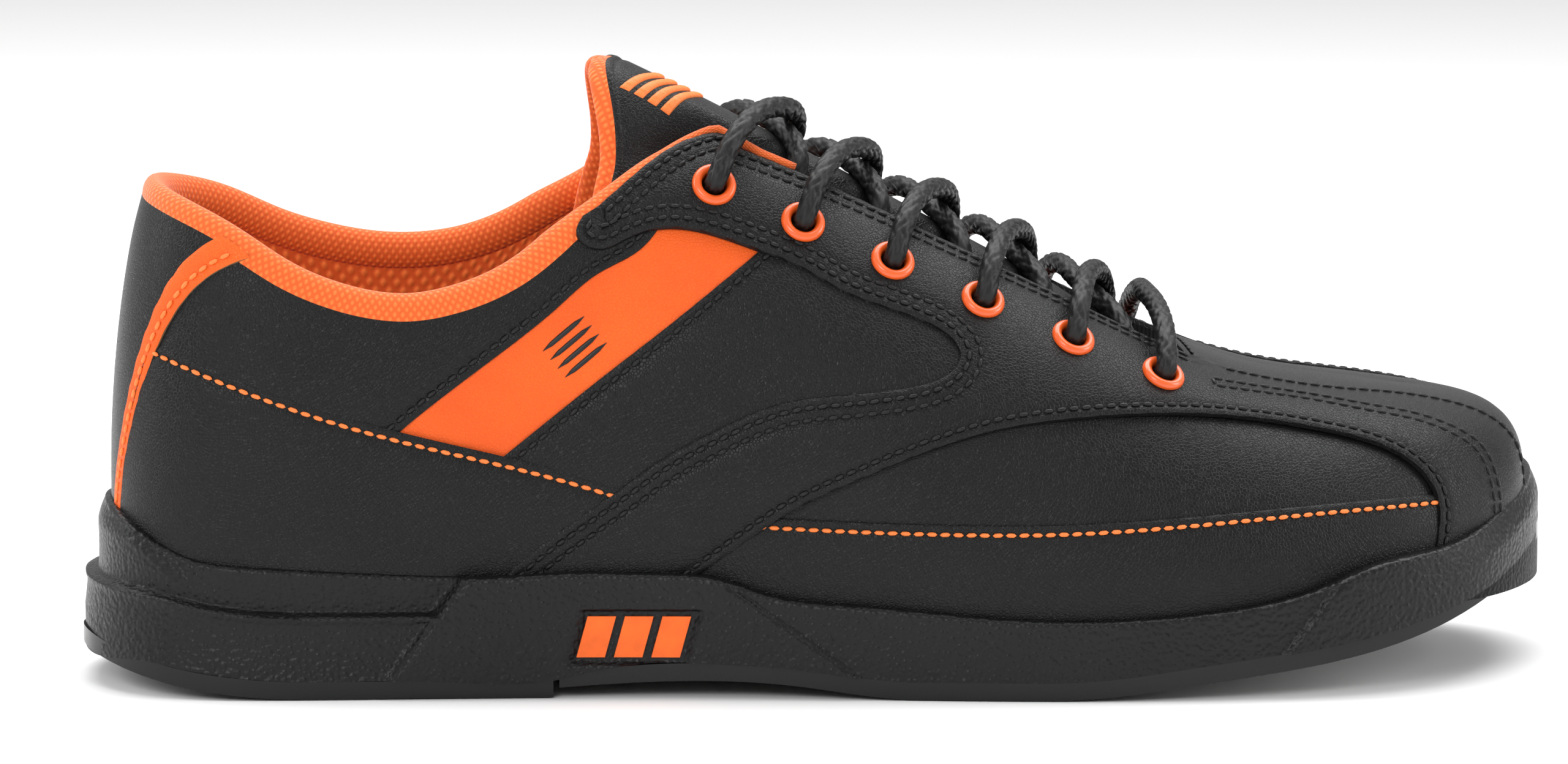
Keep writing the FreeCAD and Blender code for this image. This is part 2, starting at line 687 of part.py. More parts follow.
def sheet_piece(name, region, outside, inside, holed=False):
    """The part of one layer of the upper, between two forms, that lies in a region."""
    hollow = cut(name + "_hollow", region, inside)
    if not holed:
        return common(name, hollow, outside)
    return cut(name, common(name + "_unholed", hollow, outside), eyelet_holes)


# Outlines in the side view, the same on both sides of the shoe.
OVERLAY_LOWER_EDGE = [(-52, 97), (-50.5, 93.5), (-47, 90.5), (-40, 92.5), (-32, 94.5), (-24, 93.5),
                      (-15, 90.5), (-5, 86.5), (4, 81.5), (12, 78.5), (20, 75.5), (25.5, 72), (27, 69),
                      (25, 65.8), (21, 63.8), (13, 62.3), (4, 61.3), (-6, 60.3), (-15, 57.7), (-24, 53.5),
                      (-34, 48), (-42, 42.3), (-51, 36), (-60, 29.3), (-68, 22), (-80, 10)]
SADDLE_LOWER_EDGE = [(-44, 8), (-32, 20), (-20, 29.5), (-7, 38.5), (4, 43.8), (13, 47.7), (24, 51.8),
                     (34, 54.5), (48, 56.3), (62, 56.8), (75, 56.3), (90, 54.4), (103, 51.9), (112, 49.5),
                     (119, 46.2), (123.5, 42), (125.5, 37.5), (125.5, 32), (124, 20)]
MUDGUARD_TOP = [(-36, 37.5), (-20, 36.8), (0, 36), (20, 35.5), (45, 35.5), (61, 36.2), (77, 37.2),
                (94, 38.2), (111, 38.8), (135, 39)]
QUARTER_TOP = [(-160, 79), (-134, 70.5), (-119, 64.7), (-104, 59.3), (-85, 53.7), (-64, 48.6), (-40, 41.6)]
SLASH_BACK = [(-97, 45), (-85, 55.5), (-64, 71.5), (-54, 79.5), (-46, 86), (-37, 91), (-28, 100)]
SLASH_FRONT = [(-75, 41.5), (-65, 49.5), (-44, 66.3), (-33, 74.7), (-23, 82.5), (-12, 91)]


def outline(curves_and_corners):
    """Closed outline: each curve is a list of three or more points, each corner a single point."""
    edges = []
    first = None
    previous = None
    for item in curves_and_corners:
        chain = item if isinstance(item, list) else [item]
        if previous is not None:
            edges += lines([previous, chain[0]])
        if len(chain) > 1:
            edges.append(smooth(chain))
        first = first or chain[0]
        previous = chain[-1]
    return edges + lines([previous, first])


# Each panel: its outline, the panels laid over it, and the openings and back pieces that bound it.
PANELS = {
    "eyestay_overlay": ([OVERLAY_LOWER_EDGE, (-80, GROUND), (-44, GROUND), SADDLE_LOWER_EDGE, (124, GROUND),
                         (SOLE_FRONT, GROUND), (SOLE_FRONT, SKY), (-52, SKY)],
                        [], [collar_opening, throat_opening, strip_region]),
    "mudguard": ([MUDGUARD_TOP, (135, GROUND), (-50, GROUND), (-50, 20)], ["eyestay_overlay"], []),
    "forefoot_panel": ([(-20, 30), (-20, 40), (40, 62), (132, 62), (132, 30)],
                       ["eyestay_overlay", "mudguard"], []),
    "lower_quarter": ([QUARTER_TOP, (-60, GROUND), (-160, GROUND)], ["eyestay_overlay"], [trim_region]),
    "slash": ([SLASH_BACK, (-12, 100), list(reversed(SLASH_FRONT))],
              ["eyestay_overlay", "lower_quarter"], []),
    "rear_quarter": ([(-160, 30), (-86, 30), (-86, 54), (-28, 100), (-28, 130), (-160, 130)],
                     ["eyestay_overlay", "lower_quarter", "slash"], [collar_opening, trim_region]),
    "front_quarter": ([(-80, 30), (30, 60), (30, 85), (-26, 98), (-56, 70)],
                      ["eyestay_overlay", "lower_quarter", "slash"], []),
}
HOLED_PANELS = ["eyestay_overlay"]

strip_clear = clear_of("strip", common("strip_block", strip_region, above_feather), [throat_opening])
pieces["vamp_centre_strip"] = sheet_piece("vamp_centre_strip", strip_clear, outer_form, padding_form)
back_clear = clear_of("back", common("back_block", back_region, above_feather), [collar_opening])
pieces["back_panel"] = sheet_piece("back_panel", back_clear, outer_form, padding_form)

for side_name, side in SIDES.items():
    regions = {}
    for panel, (parts, over, bounds) in PANELS.items():
        name = f"{panel}_{side_name}"
        region = pad_body(name + "_region", "XZ_Plane", outline(parts), "dimensions.pad_span / 2",
                          midplane=False, reverse=side == MEDIAL)
        region = common(name + "_trimmed", region, above_feather)
        regions[panel] = clear_of(name + "_over", region, [regions[other] for other in over])
        bounded = clear_of(name + "_bounds", regions[panel], bounds)
        pieces[name] = sheet_piece(name, bounded, outer_form, padding_form, panel in HOLED_PANELS)
    name = "heel_trim_" + side_name
    trim_side = pad_body(name + "_side", "XZ_Plane", lines([(-160, 5), (-100, 5), (-100, 130), (-160, 130),
                                                            (-160, 5)]), "dimensions.pad_span / 2",
                         midplane=False, reverse=side == MEDIAL)
    trim_block = common(name + "_trim", common(name + "_trimmed", trim_side, above_feather), trim_region)
    trim_clear = clear_of(name, trim_block, [back_region, collar_opening])
    pieces[name] = sheet_piece(name, trim_clear, outer_form, padding_form)

# Stiffeners and padding between leather and lining, then the lining in two parts.
TOE_PUFF_X = 98.0
COUNTER_TOP = [(-160, 78), (-135, 72), (-115, 60), (-98, 40), (-86, 5)]
COLLAR_FOAM_LOWER = [(-160, 72), (-135, 66), (-115, 58), (-90, 56), (-66, 58), (-50, 66), (-36, 80),
                     (-28, 100)]
LAYER_PARTS = {
    "toe_puff": ([(TOE_PUFF_X, GROUND), (SOLE_FRONT, GROUND), (SOLE_FRONT, SKY), (TOE_PUFF_X + 12, SKY)],
                 padding_form, lining_form),
    "heel_counter": ([COUNTER_TOP, (-86, GROUND), (-160, GROUND)], padding_form, lining_form),
    "collar_foam": ([COLLAR_FOAM_LOWER, (-28, SKY), (-160, SKY)], padding_form, lining_form),
    "ankle_lining": ([(-160, GROUND), (8, GROUND), (-16, SKY), (-160, SKY)], lining_form, foot_form),
    "vamp_lining": ([(8, GROUND), (SOLE_FRONT, GROUND), (SOLE_FRONT, SKY), (-16, SKY)],
                    lining_form, foot_form),
}


def open_layer(name, piece):
    """A piece of an inner layer with the bottom cut level, and the collar, throat and eyelets open."""
    current = common(name + "_above", piece, above_feather)
    for tool in (collar_opening, throat_opening):
        current = cut(f"{name}_{tool.Name}", current, tool)
    return cut(name, current, eyelet_holes)


layer_regions = {}
for name, (parts, outside, inside) in LAYER_PARTS.items():
    layer_regions[name] = side_region(name + "_region", outline(parts))
    block = common(name + "_block", outside, layer_regions[name])
    if name == "collar_foam":
        block = cut(name + "_over_counter", block, layer_regions["heel_counter"])
    pieces[name] = open_layer(name, cut(name + "_sheet", block, inside))
interlining = cut("interlining_sheet", padding_form, lining_form)
for name in ("toe_puff", "heel_counter", "collar_foam"):
    interlining = cut("interlining_clear_" + name, interlining, layer_regions[name])
pieces["interlining"] = open_layer("interlining", interlining)
for item in (heel_pad, slide_pad, outsole_forepart, midsole, shank, heel_cushion, sole_badge, insole_board,
             sock_liner):
    pieces[item.Name] = item

# ---------------------------------------------------------------- tongue

TONGUE_TOP_X = -42.0
TONGUE_BASE_X = 80.0
TONGUE_SPANS = (0.50, 0.40)
TONGUE_CENTRE_DEPTH = 3.0
TONGUE_BASE_DEPTH = 5.6
TONGUE_SIDE_DEPTH = 11.2
FALL_START = 0.08
FALL_END = 0.20
TONGUE_STEPS = 16
TONGUE_CROSS_STEPS = 20


def ease(value):
    value = min(max(value, 0.0), 1.0)
    return value * value * (3 - 2 * value)


def tongue_depth(ridge_x, span):
    """How far the tongue's face lies below the form: high in the throat, low under the eyelet rows."""
    centre = TONGUE_CENTRE_DEPTH + (TONGUE_BASE_DEPTH - TONGUE_CENTRE_DEPTH) * ease((ridge_x - 50) / 20)
    fall = ease((abs(span) - FALL_START) / (FALL_END - FALL_START))
    return centre + (TONGUE_SIDE_DEPTH - centre) * fall


def border_edges(surface):
    """The four edges round a surface."""
    first_u, last_u, first_v, last_v = surface.bounds()
    borders = [surface.uIso(first_u), surface.uIso(last_u), surface.vIso(first_v), surface.vIso(last_v)]
    return [border.toShape() for border in borders]


def slab(name, start_x, end_x, spans, upper, lower, steps, cross_steps):
    """Closed solid between two sheets over the form, each given as a depth below it."""
    sheets = []
    for depth in (upper, lower):
        grid = []
        for i in range(steps + 1):
            ridge_x = start_x + (end_x - start_x) * i / steps
            reach = spans[0] + (spans[1] - spans[0]) * i / steps
            row = [reach * (2 * j / cross_steps - 1) for j in range(cross_steps + 1)]
            grid.append([place(ridge_x, span, -depth(ridge_x, span)) for span in row])
        surface = Part.BSplineSurface()
        surface.interpolate(grid)
        sheets.append(surface)
    faces = [sheet.toShape() for sheet in sheets]
    for upper_edge, lower_edge in zip(*[border_edges(sheet) for sheet in sheets]):
        faces.append(Part.makeRuledSurface(upper_edge, lower_edge))
    return feature(name, solid_from(faces, name))


def tongue_level(extra):
    return lambda ridge_x, span: tongue_depth(ridge_x, span) + extra


tongue_leather = size["tongue_leather_thickness"]
tongue_foam = size["tongue_foam_thickness"]
tongue_lining = size["tongue_lining_thickness"]
tongue_levels = {
    "tongue_shell": (0.0, tongue_leather),
    "tongue_foam": (tongue_leather, tongue_leather + tongue_foam),
    "tongue_lining": (tongue_leather + tongue_foam, tongue_leather + tongue_foam + tongue_lining),
}
for name, (upper, lower) in tongue_levels.items():
    pieces[name] = slab(name, TONGUE_TOP_X, TONGUE_BASE_X, TONGUE_SPANS, tongue_level(upper),
                        tongue_level(lower), TONGUE_STEPS, TONGUE_CROSS_STEPS)
pieces["tongue_emblem"] = slab("tongue_emblem", -38, -26, (0.07, 0.07),
                               tongue_level(-size["emblem_thickness"]), tongue_level(0), 4, 4)

# ---------------------------------------------------------------- lace

lace_diameter = size["lace_diameter"]
INSIDE = -7.7
# One strand, from an eyelet to the opposite eyelet one row further down: how far along the row,
# across the form (1 at its own eyelet, -1 at the other) and how high above the leather.
STRAND_OVER = [(0, 1, INSIDE), (0, 1, 3.4), (0.03, 0.80, 8.0), (0.16, 0.48, 7.0), (0.38, 0.18, 5.8),
               (0.62, -0.16, 4.4), (0.82, -0.40, -0.4), (0.93, -0.62, -7.4)]
STRAND_UNDER = [(0, 1, INSIDE), (0, 1, 3.4), (0.03, 0.80, 7.4), (0.16, 0.50, 5.2), (0.38, 0.20, 0.9),
                (0.62, -0.16, 0.0), (0.82, -0.40, -0.6), (0.93, -0.62, -7.4)]
BAR = [(0, 1, INSIDE), (0, 1, 3.6), (0.04, 0.76, 7.0), (0.10, 0.36, 6.2), (0.12, 0, 5.6),
       (0.10, -0.36, 6.2), (0.04, -0.76, 7.0), (0, -1, 3.6), (0, -1, INSIDE)]
# Each tail, inside the shoe from the top eyelet: rib, across, and height.
TAIL = [(-16, 0.43, -7.8), (-26, 0.52, -7.8), (-35, 0.62, -8.0), (-40, 0.72, -8.4), (-34, 0.81, -9.2),
        (-21, 0.865, -10.2), (-6, 0.88, -10.8), (9, 0.885, -11.6), (24, 0.885, -12.6)]


def strand_points(row, side, template):
    """Route of one strand: square through its eyelets, and over the form between them."""
    points = []
    for along, across, height in template:
        ridge_x = row_x(row + along)
        span = across * side * eyelet_span(row + along)
        if abs(across) == 1:
            points.append(place(ridge_x, span, 0) + form_normal(ridge_x, span) * height)
        else:
            points.append(place(ridge_x, span, height))
    return points


def tail_points(side):
    return [place(ridge_x, across * side, height) for ridge_x, across, height in TAIL]


def lace_points():
    """The whole lace, from the outer tail down the rows, over the bar and up again."""
    last = EYELET_ROWS - 1
    points = list(reversed(tail_points(LATERAL)))
    side = LATERAL
    for row in range(last):
        template = STRAND_OVER if row % 2 == 0 else STRAND_UNDER
        points += strand_points(row, side, template)
        side = -side
    points += strand_points(last, side, BAR)
    side = -side
    for row in reversed(range(last)):
        template = STRAND_UNDER if row % 2 == 0 else STRAND_OVER
        points += reversed(strand_points(row, -side, template))
        side = -side
    return points + tail_points(MEDIAL)


# How far before its corner the lace starts to bend: late enough to pass straight through an eyelet.
LONGEST_BEND = 3.0


def rounded_path(points, label):
    """Straight runs joined by tangent arcs."""
    edges = []
    radii = []
    start = points[0]
    for before, corner, after in zip(points, points[1:], points[2:]):
        back = before - corner
        ahead = after - corner
        reach = min(0.45 * back.Length, 0.45 * ahead.Length, LONGEST_BEND)
        half_turn = (math.pi - back.getAngle(ahead)) / 2
        radii.append(reach / math.tan(half_turn))
        arc_start = corner + back.normalize() * reach
        arc_end = corner + ahead.normalize() * reach
        bisector = (back + ahead).normalize()
        middle = corner + bisector * (radii[-1] / math.cos(half_turn) - radii[-1])
        edges.append(Part.LineSegment(start, arc_start).toShape())
        edges.append(Part.Arc(arc_start, middle, arc_end).toShape())
        start = arc_end
    edges.append(Part.LineSegment(start, points[-1]).toShape())
    print(label, "points", len(points), "length", round(sum(edge.Length for edge in edges)), "mm, radii",
          [round(radius, 1) for radius in radii])
    return Part.Wire(edges)


def tube(path, diameter):
    start = path.Edges[0]
    direction = start.tangentAt(start.FirstParameter)
    circle = Part.makeCircle(diameter / 2, start.valueAt(start.FirstParameter), direction)
    return path.makePipeShell([Part.Wire(circle)], True, False)


lace_route = lace_points()
lace_path = rounded_path(lace_route, "lace")
lace_shape = tube(lace_path, lace_diameter)
pieces["lace"] = feature("lace", lace_shape)
expected = math.pi * lace_diameter ** 2 / 4 * lace_path.Length
print("lace volume ratio", round(lace_shape.Volume / expected, 4))


def aglet(name, end, before):
    """Stiff tip that carries on from an end of the lace."""
    item = doc.addObject("Part::Cylinder", name)
    item.setExpression("Radius", "dimensions.aglet_diameter / 2")
    item.setExpression("Height", "dimensions.aglet_length")
    item.Placement = FreeCAD.Placement(end, FreeCAD.Rotation(FreeCAD.Vector(0, 0, 1), end - before))
    return item


pieces["aglet_lateral"] = aglet("aglet_lateral", lace_route[0], lace_route[1])
pieces["aglet_medial"] = aglet("aglet_medial", lace_route[-1], lace_route[-2])

# ---------------------------------------------------------------- checks and files

doc.recompute()
for item in doc.Objects:
    if "Invalid" in item.State or "Error" in item.State:
        raise RuntimeError(f"{item.Name} failed: {item.State}")
for name, item in pieces.items():
    shape = item.Shape
    if shape.isNull() or not shape.isValid() or not shape.Solids:
        raise RuntimeError(f"{name} has no valid solid")
os.makedirs("parts", exist_ok=True)
for name, item in pieces.items():
    shape = item.Shape
    shape.exportStep(os.path.join("parts", name + ".step"))
    print(f"{name:28s} {len(shape.Solids)} {shape.Volume / 1000:8.2f} cm3")
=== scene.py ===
import math

import bmesh
import bpy
import numpy as np
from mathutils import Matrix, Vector
from mathutils.geometry import delaunay_2d_cdt


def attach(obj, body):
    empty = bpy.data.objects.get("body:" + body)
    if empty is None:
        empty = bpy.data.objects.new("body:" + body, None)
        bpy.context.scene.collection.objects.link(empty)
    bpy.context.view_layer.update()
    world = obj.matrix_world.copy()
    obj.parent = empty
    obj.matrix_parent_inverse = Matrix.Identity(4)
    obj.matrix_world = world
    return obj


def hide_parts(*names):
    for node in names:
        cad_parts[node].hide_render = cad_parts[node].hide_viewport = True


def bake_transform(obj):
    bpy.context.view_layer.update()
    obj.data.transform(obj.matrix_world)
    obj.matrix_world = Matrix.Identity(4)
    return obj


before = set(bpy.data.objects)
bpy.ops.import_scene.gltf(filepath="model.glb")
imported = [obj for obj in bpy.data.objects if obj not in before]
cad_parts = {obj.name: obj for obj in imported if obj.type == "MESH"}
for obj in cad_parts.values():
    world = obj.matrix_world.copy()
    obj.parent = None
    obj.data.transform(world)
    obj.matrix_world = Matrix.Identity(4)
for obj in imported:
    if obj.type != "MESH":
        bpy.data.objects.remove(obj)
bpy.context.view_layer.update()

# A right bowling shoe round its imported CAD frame. Lengths in this script are millimetres and are
# turned into metres where a mesh is made. Toe along +X, outer (lateral) side along -Y, +Z up.

MM = 0.001
LATERAL = -1
MEDIAL = 1
SIDES = {"lateral": LATERAL, "medial": MEDIAL}
SIDE_NAMES = {side: name for name, side in SIDES.items()}

# ---------------------------------------------------------------- shape of the foot form

# Control points (x, y) of the closed line where the upper meets the sole: from the back of the heel
# along the outer side to the toe, and back along the inner side.
FEATHER = np.array([
    (-143.5, 0), (-142.5, -16), (-131.5, -29.5), (-108, -33.5), (-79, -34), (-48, -35), (-18, -38.5),
    (12, -44), (42, -49), (72, -51), (100, -48), (125, -39), (141.5, -23.5), (148.5, -8),
    (151.5, 10), (148.5, 27), (135.5, 40.5), (113, 47.5), (86, 50.5), (58, 50), (30, 45), (2, 36.5),
    (-26, 31), (-56, 30.5), (-85, 32), (-111, 32), (-131.5, 28), (-142.5, 15.5),
])
FEATHER_COUNT = len(FEATHER)
TOE_INDEX = FEATHER_COUNT // 2
RIDGE_START = -100.0
RIDGE_END = 126.0


def natural_spline(knots, values):
    """Smooth curve through values at knots: a natural cubic spline, straight beyond its ends."""
    x = np.asarray(knots, float)
    y = np.asarray(values, float)
    run = np.diff(x)
    matrix = np.eye(len(x))
    target = np.zeros(y.shape)
    for i in range(1, len(x) - 1):
        matrix[i, i - 1:i + 2] = run[i - 1], 2 * (run[i - 1] + run[i]), run[i]
        target[i] = 6 * ((y[i + 1] - y[i]) / run[i] - (y[i] - y[i - 1]) / run[i - 1])
    bend = np.linalg.solve(matrix, target)

    def value(position):
        position = np.asarray(position, float)
        inside = np.clip(position, x[0], x[-1])
        i = np.clip(np.searchsorted(x, inside) - 1, 0, len(x) - 2)
        shape = position.shape + (1,) * (y.ndim - 1)
        length = run[i].reshape(shape)
        a = ((x[i + 1] - inside) / run[i]).reshape(shape)
        b = 1 - a
        bow = (a ** 3 - a) * bend[i] + (b ** 3 - b) * bend[i + 1]
        curve = a * y[i] + b * y[i + 1] + bow * length ** 2 / 6
        turn = (3 * b * b - 1) * bend[i + 1] - (3 * a * a - 1) * bend[i]
        slope = (y[i + 1] - y[i]) / length + turn * length / 6
        return curve + slope * (position - inside).reshape(shape)

    return value


def profile(knots):
    """Smooth y(x) through (x, y) knots."""
    x, y = zip(*knots)
    return natural_spline(x, y)


feather_height = profile([(-150, 13.5), (-100, 12), (-40, 11), (10, 9), (45, 8), (80, 10), (110, 15.5),
                          (130, 22.5), (148, 31.5)])
ridge_height = profile([(-100, 148.5), (-70, 141.5), (-40, 129), (-15, 116.5), (10, 103), (40, 86.5),
                        (60, 75.5), (77, 67), (92, 61.8), (108, 59), (126, 56)])
ridge_offset = profile([(-100, 0), (-40, 0.5), (20, 1.2), (77, 1.5), (108, 3.5), (126, 7)])
wall_height = profile([(-150, 38.5), (-143, 37), (-137, 32.5), (-130, 28.5), (-119, 26.7), (-90, 25.1),
                       (-66, 24.8), (-54, 25.5), (-35, 25.3), (-22, 24.3), (-12, 21), (3, 19.1), (43, 16.1),
                       (67, 16.7), (88, 19.2), (98, 21.7), (108, 25.7), (129, 29.5), (141, 34.5), (152, 40)])
rib_lean = profile([(-100, 6.5), (-60, 5), (0, 8), (60, 6), (100, 4.5), (126, 2)])
rib_rise = profile([(-100, 0.46), (-60, 0.55), (0, 0.66), (60, 0.70), (100, 0.72), (126, 0.74)])
rib_reach = profile([(-100, 0.75), (-60, 0.70), (0, 0.66), (60, 0.62), (100, 0.66), (126, 0.74)])
sole_flange = profile([(-146, 7.5), (-125, 5.5), (-90, 4.4), (0, 4.0), (60, 3.6), (110, 4.0), (152, 3.0)])


def feather_point(position):
    """Points of the closed uniform cubic B-spline along the feather line."""
    index = np.floor(position).astype(int)
    f = position - index
    weights = ((1 - f) ** 3 / 6, (3 * f ** 3 - 6 * f * f + 4) / 6,
               (-3 * f ** 3 + 3 * f * f + 3 * f + 1) / 6, f ** 3 / 6)
    return sum(weight[..., None] * FEATHER[(index + step) % FEATHER_COUNT]
               for weight, step in zip(weights, (-1, 0, 1, 2)))


def feather_outward(position):
    """Unit vectors that point out of the feather line, level with the floor."""
    tangent = feather_point(position + 0.02) - feather_point(position - 0.02)
    tangent /= np.linalg.norm(tangent, axis=-1, keepdims=True)
    return np.stack([tangent[..., 1], -tangent[..., 0], np.zeros(tangent.shape[:-1])], axis=-1)


WALK = np.linspace(0, TOE_INDEX, 20001)
WALK_X = {LATERAL: feather_point(WALK)[:, 0], MEDIAL: feather_point(FEATHER_COUNT - WALK)[:, 0]}


def position_at(share, side):
    """Where on the feather line the rib stands whose ridge point is this share of the way to the toe."""
    heel_x = WALK_X[LATERAL][0]
    toe_x = WALK_X[LATERAL][-1]
    target = heel_x + (toe_x - heel_x) * share
    outer = np.interp(target, WALK_X[LATERAL], WALK)
    inner = FEATHER_COUNT - np.interp(target, WALK_X[MEDIAL], WALK)
    return np.where(side < 0, outer, inner)


UP = np.array([0.0, 0.0, 1.0])


def unit(vectors):
    return vectors / np.linalg.norm(vectors, axis=-1, keepdims=True)


def edge_normal(edge, outward):
    along = (edge * outward).sum(-1, keepdims=True)
    return unit(outward * edge[..., 2:3] - UP * along)


def mitre(first, second, depth):
    return (first + second) * (depth / (1 + (first * second).sum(-1)))[..., None]


def folded(theta, span):
    """Theta and span with a theta past either end brought back over the other side, and that side."""
    past = (theta < 0) | (theta > math.pi)
    span = np.where(past, -span, span)
    theta = np.abs(theta)
    theta = np.where(theta > math.pi, 2 * math.pi - theta, theta)
    return theta, span, np.where(span < 0, LATERAL, MEDIAL)


def surface(theta, span, height=0.0):
    """Points over the form. theta runs from 0 at the heel to pi at the toe, span from -1 at the outer
    feather line over the ridge at 0 to 1 inside, and height is above the leather. Past either end of
    theta the surface goes on round the heel or the toe."""
    theta, span, height = np.broadcast_arrays(*[np.asarray(item, float) for item in (theta, span, height)])
    theta, span, side = folded(theta, span)
    share = (1 - np.cos(theta)) / 2
    position = position_at(share, side)
    foot_plan = feather_point(position)
    outward = feather_outward(position)
    ridge_x = RIDGE_START + (RIDGE_END - RIDGE_START) * share
    ridge = np.stack([ridge_x, ridge_offset(ridge_x), ridge_height(ridge_x)], axis=-1)
    foot = np.concatenate([foot_plan, feather_height(foot_plan[..., 0])[..., None]], axis=-1)
    rise = rib_rise(ridge_x) * (ridge[..., 2] - foot[..., 2])
    shoulder = foot + outward * rib_lean(ridge_x)[..., None] + UP * rise[..., None]
    reach = rib_reach(ridge_x)[..., None]
    slope = ridge_height(ridge_x + 0.5) - ridge_height(ridge_x - 0.5)
    crown = ridge + (foot - ridge) * reach
    crown[..., 2] = ridge[..., 2] + slope * (foot[..., 0] - ridge_x) * reach[..., 0] / 2
    side_normal = edge_normal(shoulder - foot, outward)
    turn_normal = edge_normal(crown - shoulder, outward)
    top_normal = unit(np.stack([-slope, np.zeros(slope.shape), np.ones(slope.shape)], axis=-1))
    depth = -height
    poles = [foot - outward * depth[..., None], shoulder - mitre(side_normal, turn_normal, depth),
             crown - mitre(turn_normal, top_normal, depth), ridge - top_normal * depth[..., None]]
    s = 1 - np.abs(span)
    weights = ((1 - s) ** 3, 3 * s * (1 - s) ** 2, 3 * s * s * (1 - s), s ** 3)
    return sum(weight[..., None] * pole for weight, pole in zip(weights, poles))


STEP = 1e-4  # of theta and span, for slopes


def slopes(theta, span, height=0.0):
    """How the surface point moves with theta and with span."""
    along = (surface(theta + STEP, span, height) - surface(theta - STEP, span, height)) / (2 * STEP)
    across = (surface(theta, span + STEP, height) - surface(theta, span - STEP, height)) / (2 * STEP)
    return along, across


def outward_normal(theta, span):
    """Unit normals of the form."""
    return unit(surface(theta, span, 0.5) - surface(theta, span, -0.5))


def true_normal(theta, span):
    """Unit normals square to the surface, pointing out."""
    along, across = slopes(theta, span)
    normal = unit(np.cross(along, across))
    turn = np.sign((normal * outward_normal(theta, span)).sum(-1, keepdims=True))
    return normal * turn


def theta_of(ridge_x):
    share = (np.asarray(ridge_x, float) - RIDGE_START) / (RIDGE_END - RIDGE_START)
    return np.arccos(np.clip(1 - 2 * share, -1, 1))


def place(ridge_x, span, height):
    """Point over the form above the rib whose ridge point is at ridge_x."""
    return surface(theta_of(ridge_x), span, height)


# ---------------------------------------------------------------- curves on the form

VIEWS = {"side": (0, 2), "top": (0, 1), "rear": (1, 2)}
ANKLE_THETA = float(theta_of(-78.0))


def find(view, points, side):
    """Surface coordinates (theta, span) of points given in a view of one side of the shoe."""
    axes = list(VIEWS[view])
    targets = np.asarray(points, float)
    last_theta = ANKLE_THETA if view == "rear" else math.pi
    thetas = np.linspace(0, last_theta, 150)
    spans = np.linspace(0.02, 0.999, 90)
    grid_theta, grid_span = [item.ravel() for item in np.meshgrid(thetas, spans)]
    grid = surface(grid_theta, grid_span * side)[:, axes]
    nearest = ((targets[:, None, :] - grid[None]) ** 2).sum(-1).argmin(1)
    theta, span = grid_theta[nearest], grid_span[nearest]
    for _ in range(8):
        miss = targets - surface(theta, span * side)[:, axes]
        along, across = slopes(theta, span * side)
        a, b = along[:, axes], across[:, axes] * side
        area = a[:, 0] * b[:, 1] - a[:, 1] * b[:, 0]
        area = np.where(np.abs(area) < 1.0, np.where(area < 0, -1.0, 1.0), area)
        theta = theta + np.clip((miss[:, 0] * b[:, 1] - miss[:, 1] * b[:, 0]) / area, -0.05, 0.05)
        span = span + np.clip((a[:, 0] * miss[:, 1] - a[:, 1] * miss[:, 0]) / area, -0.05, 0.05)
        theta = np.clip(theta, 0.0, last_theta)
        span = np.clip(span, 0.003, 0.999)
    return np.stack([theta, span * side], axis=-1)


def length_along(points):
    """Length of the path up to each of its points."""
    return np.concatenate([[0], np.cumsum(np.linalg.norm(np.diff(points, axis=0), axis=1))])


def smooth_line(points, spacing):
    """Points at even spacing along one smooth curve through the given points."""
    points = np.asarray(points, float)
    if len(points) == 2:
        count = max(2, int(np.linalg.norm(points[1] - points[0]) / spacing) + 1)
        return np.linspace(points[0], points[1], count)
    knots = length_along(points)
    curve = natural_spline(knots, points)
    fine = curve(np.linspace(0, knots[-1], 40 * len(points)))
    return resample(fine, fine, spacing)


def resample(values, points, spacing):
    """Values taken at even steps of the length along points, both ends kept."""
    length = length_along(points)
    count = max(2, int(round(length[-1] / spacing)) + 1)
    wanted = np.linspace(0, length[-1], count)
    return np.stack([np.interp(wanted, length, column) for column in values.T], axis=-1)


EDGE_SPACING = 1.1


def edge(view, points, side, spacing=EDGE_SPACING):
    """A smooth panel edge, drawn in a view, as evenly spaced surface coordinates."""
    coordinates = find(view, smooth_line(points, 1.0), side)
    return resample(coordinates, surface(*coordinates.T), spacing)


def straight_run(first, second):
    """Straight run of surface coordinates between two points, without its ends."""
    length = np.linalg.norm(surface(*first) - surface(*second))
    count = max(2, int(length / 3.0) + 1)
    return np.linspace(first, second, count + 1)[1:-1]


# ---------------------------------------------------------------- meshes

scene = bpy.context.scene


def add_mesh(name, points, faces, material, body="root", uv=None, fix_normals=True):
    """A smooth mesh piece from points in millimetres; uv is one pair of millimetres per point."""
    mesh = bpy.data.meshes.new(name)
    mesh.from_pydata((np.asarray(points, float) * MM).tolist(), [], faces)
    if uv is not None:
        layer = mesh.uv_layers.new(name="thread")
        index = np.empty(len(mesh.loops), int)
        mesh.loops.foreach_get("vertex_index", index)
        layer.data.foreach_set("uv", (np.asarray(uv, float)[index] * MM).ravel())
    if fix_normals:
        work = bmesh.new()
        work.from_mesh(mesh)
        bmesh.ops.recalc_face_normals(work, faces=work.faces)
        work.to_mesh(mesh)
        work.free()
    mesh.polygons.foreach_set("use_smooth", [True] * len(mesh.polygons))
    mesh.update()
    mesh.materials.append(material)
    piece = bpy.data.objects.new(name, mesh)
    scene.collection.objects.link(piece)
    if body is not None:
        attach(piece, body)
    return piece


